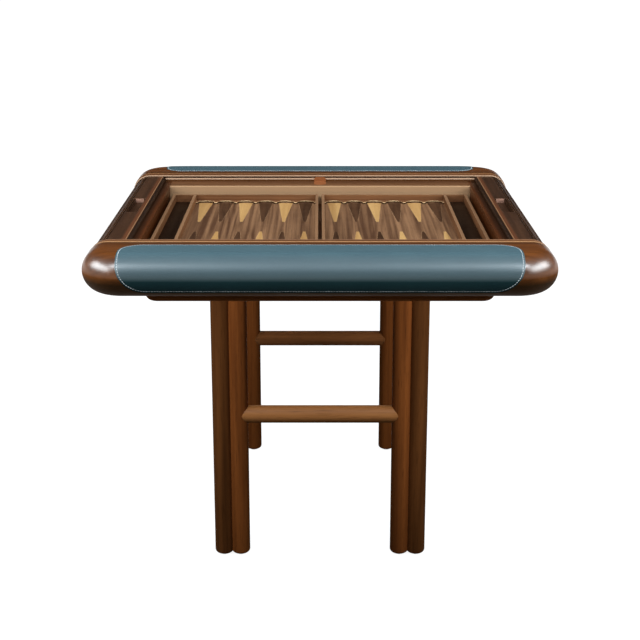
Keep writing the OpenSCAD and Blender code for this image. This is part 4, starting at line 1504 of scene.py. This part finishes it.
@dataclass(frozen=True)
class Shutter:
    """One slatted shutter: its lead rail, its slats, and the run of slats and cloth gathered in the open
    rail.
    """

    side: Side
    bend_x: float = TOP_X - NOSE
    outer_inset: float = 4.8 * MM
    thickness: float = 10.2 * MM
    cut: float = 14.5
    travel: float = RAIL_INNER - 0.5 * MM
    count: int = 34
    gap: float = 0.4 * MM
    half_span: float = SIDE_INNER - 1.3 * MM
    half_tongue: float = TONGUE_END - 0.2 * MM
    edge: float = 2.2 * MM
    tongue_width: float = 8 * MM
    tongue_thickness: float = 3.4 * MM
    cloth: float = 0.8 * MM
    cloth_hem: float = 4 * MM
    cloth_short: float = 12 * MM
    cloth_steps: int = 3
    store_in: float = TOP_X - NOSE + 0.5 * MM
    store_out: float = TOP_X - NOSE + 9.5 * MM

    @property
    def pitch(self) -> float:
        """The distance between slats, so that they fill the rail's travel."""
        return self.travel / self.count

    @property
    def inner_radius(self) -> float:
        """The radius of the cloth's face round the bend."""
        return NOSE - self.outer_inset - self.thickness

    def stored_x(self, closed_x: float) -> float:
        """Finds where a point waits in the open rail, from its place when the shutter is closed.

        Args:
            closed_x: The point's distance from the middle when the shutter is closed.

        Returns:
            Its distance from the middle when the shutter is open.
        """
        low, high = self.store_in, self.store_out
        for _ in range(HALVINGS):
            middle = (low + high) / 2
            share = (self.store_out - middle) / (self.store_out - self.store_in)
            carried = middle - share * share * (3 - 2 * share) * self.travel
            if carried > closed_x:
                high = middle
            else:
                low = middle
        return (low + high) / 2

    def store(self, mesh: bpy.types.Mesh) -> None:
        """Gathers a closed run into the open rail, on this side of the table."""
        for vertex in mesh.vertices:
            vertex.co.x = self.side.value * self.stored_x(vertex.co.x)
        if self.side is Side.LEFT:
            mesh.flip_normals()

    def follow(self, piece: bpy.types.Object) -> None:
        """Bakes a gathered run's placement into its mesh."""
        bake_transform(piece)

    def slat_run(self, wood: bpy.types.Material) -> None:
        """Makes the slats that cover the field when the shutter is closed."""
        base = bpy.data.meshes.new("slat base")
        radius = self.inner_radius
        mesh = SlatRule.make(
            base, wood, Count=self.count, Pitch=self.pitch, Start=radius * math.radians(self.cut),
            Bend_Radius=radius, Bend_X=self.bend_x, Middle_Z=NOSE_Z, Width=self.pitch - self.gap,
            Thickness=self.thickness, Span=2 * self.half_span, Edge_Radius=self.edge,
            Tongue_Width=self.tongue_width, Tongue_Thickness=self.tongue_thickness,
            Tongue_Span=2 * self.half_tongue)
        self.store(mesh)
        piece = add_piece(f"{self.side.word}_top_run_slats", mesh)
        self.follow(piece)

    def cloth_run(self, canvas: bpy.types.Material) -> None:
        """Makes the cloth under those slats."""
        made = bmesh.new()
        steps = self.cloth_steps * self.count
        length = self.travel - self.cloth_short
        half = self.half_span - self.cloth_hem
        face_z = NOSE_Z + self.inner_radius
        rows = []
        for number in range(steps + 1):
            x = self.bend_x - length * number / steps
            corners = [(x, y, z) for y in (-half, half) for z in (face_z, face_z - self.cloth)]
            rows.append([made.verts.new(corner) for corner in corners])
        for here, after in zip(rows, rows[1:]):
            for first, second in ((0, 2), (3, 1), (1, 0), (2, 3)):
                made.faces.new((here[first], here[second], after[second], after[first]))
        made.faces.new([rows[0][index] for index in (0, 1, 3, 2)])
        made.faces.new([rows[-1][index] for index in (0, 2, 3, 1)])
        bmesh.ops.recalc_face_normals(made, faces=made.faces)
        mesh = bpy.data.meshes.new("top run cloth")
        made.to_mesh(mesh)
        made.free()
        self.store(mesh)
        piece = add_piece(f"{self.side.word}_top_run_cloth", mesh, canvas)
        self.follow(piece)

    def build(self, canvas: bpy.types.Material) -> None:
        """Dresses the rail and slats, and makes the run gathered in the open rail."""
        word = self.side.word
        rail_wood = LEAD_WALNUT.material(Grain.ALONG_Y, cut=1)
        slat_wood = SHUTTER_WALNUT.material(Grain.ALONG_Y, cut=2)
        dress(f"{word}_lead_rail", rail_wood)
        dress(f"{word}_nose_slats", slat_wood)
        dress(f"{word}_hidden_slats", slat_wood)
        dress(f"{word}_shutter_cloth", canvas)
        self.slat_run(slat_wood)
        self.cloth_run(canvas)


@dataclass(frozen=True)
class Top:
    """The armrests, side boards, stops and the well's boards."""

    pads: tuple[LeatherArmrest, ...] = tuple(LeatherArmrest(player) for player in Player)

    def build(self) -> None:
        """Dresses the boards and makes the leather pads."""
        for number, player in enumerate(Player):
            word = player.word
            dress(f"{word}_armrest", GLOSS_WALNUT.material(Grain.ALONG_X, cut=number))
            dress(f"{word}_side_board", SIDE_WALNUT.material(Grain.ALONG_X, cut=3 + number))
            dress(f"{word}_stop", CHERRY.material(Grain.ALONG_X))
            dress(f"{word}_ledge", LEDGE_WALNUT.material(Grain.ALONG_X, cut=number))
            dress(f"{word}_well_wall", LEDGE_WALNUT.material(Grain.ALONG_X, cut=3 + number))
        for side in Side:
            dress(f"{side.word}_end_core", CORE_WALNUT.material(Grain.ALONG_Y, cut=1))
        dress("well_floor", CORE_WALNUT.material(Grain.ALONG_X, cut=2))
        leather = BLUE_LEATHER.material()
        thread = PALE_THREAD.material()
        for pad in self.pads:
            pad.build(leather, thread)


@dataclass(frozen=True)
class Trays:
    """The two half boards with their walls, dividers, scalloped strips and inlaid points."""

    walls: tuple[tuple[str, Grain], ...] = (
        ("front", Grain.ALONG_X), ("rear", Grain.ALONG_X),
        ("outer", Grain.ALONG_Y), ("inner", Grain.ALONG_Y),
    )

    def build(self) -> None:
        """Dresses both trays."""
        for number, side in enumerate(Side):
            word = side.word
            dress(f"{word}_tray_base", FIELD_WALNUT.material(Grain.ALONG_Y, cut=number))
            for wall, grain in self.walls:
                dress(f"{word}_tray_{wall}_wall", TRAY_WALNUT.material(grain, cut=4))
            dress(f"{word}_tray_divider", TRAY_WALNUT.material(Grain.ALONG_Y, cut=5))
            for player in Player:
                dress(f"{word}_{player.word}_nest_strip", NEST_WALNUT.material(Grain.ALONG_X, cut=6))
            dress(f"{word}_light_points", MAPLE.material(Grain.ALONG_Y))
            dress(f"{word}_dark_points", WENGE.material(Grain.ALONG_Y))


@dataclass(frozen=True)
class Underframe:
    """The plate, the legs, the stretchers and their fittings."""

    outer_columns: WoodFinish = OUTER_LEG_WALNUT
    inner_columns: WoodFinish = LEG_WALNUT

    def build(self) -> None:
        """Dresses the underframe."""
        dress("under_plate", LEG_WALNUT.material(Grain.ALONG_X, cut=1))
        dress("front_stretcher", FRONT_RAIL_WALNUT.material(Grain.ALONG_X, cut=2))
        dress("rear_stretcher", REAR_RAIL_WALNUT.material(Grain.ALONG_X, cut=2))
        for player in Player:
            for side in Side:
                leg = f"{player.word}_{side.word}"
                dress(f"{leg}_outer_column", self.outer_columns.material(Grain.ALONG_Z, cut=3))
                dress(f"{leg}_inner_column", self.inner_columns.material(Grain.ALONG_Z, cut=4))
        dress("column_studs", STEEL.material())
        dress("plate_screws", BRASS.material())
        dress("foot_glides", GLIDE_PLASTIC.material())


def main() -> None:
    """Builds the studio and then each sub-assembly."""
    logging.basicConfig(level=logging.INFO, format="%(name)s: %(message)s")
    Studio().build()
    Top().build()
    canvas = DARK_CANVAS.material()
    for side in Side:
        Shutter(side).build(canvas)
    Trays().build()
    Underframe().build()


if __name__ == "__main__":
    main()
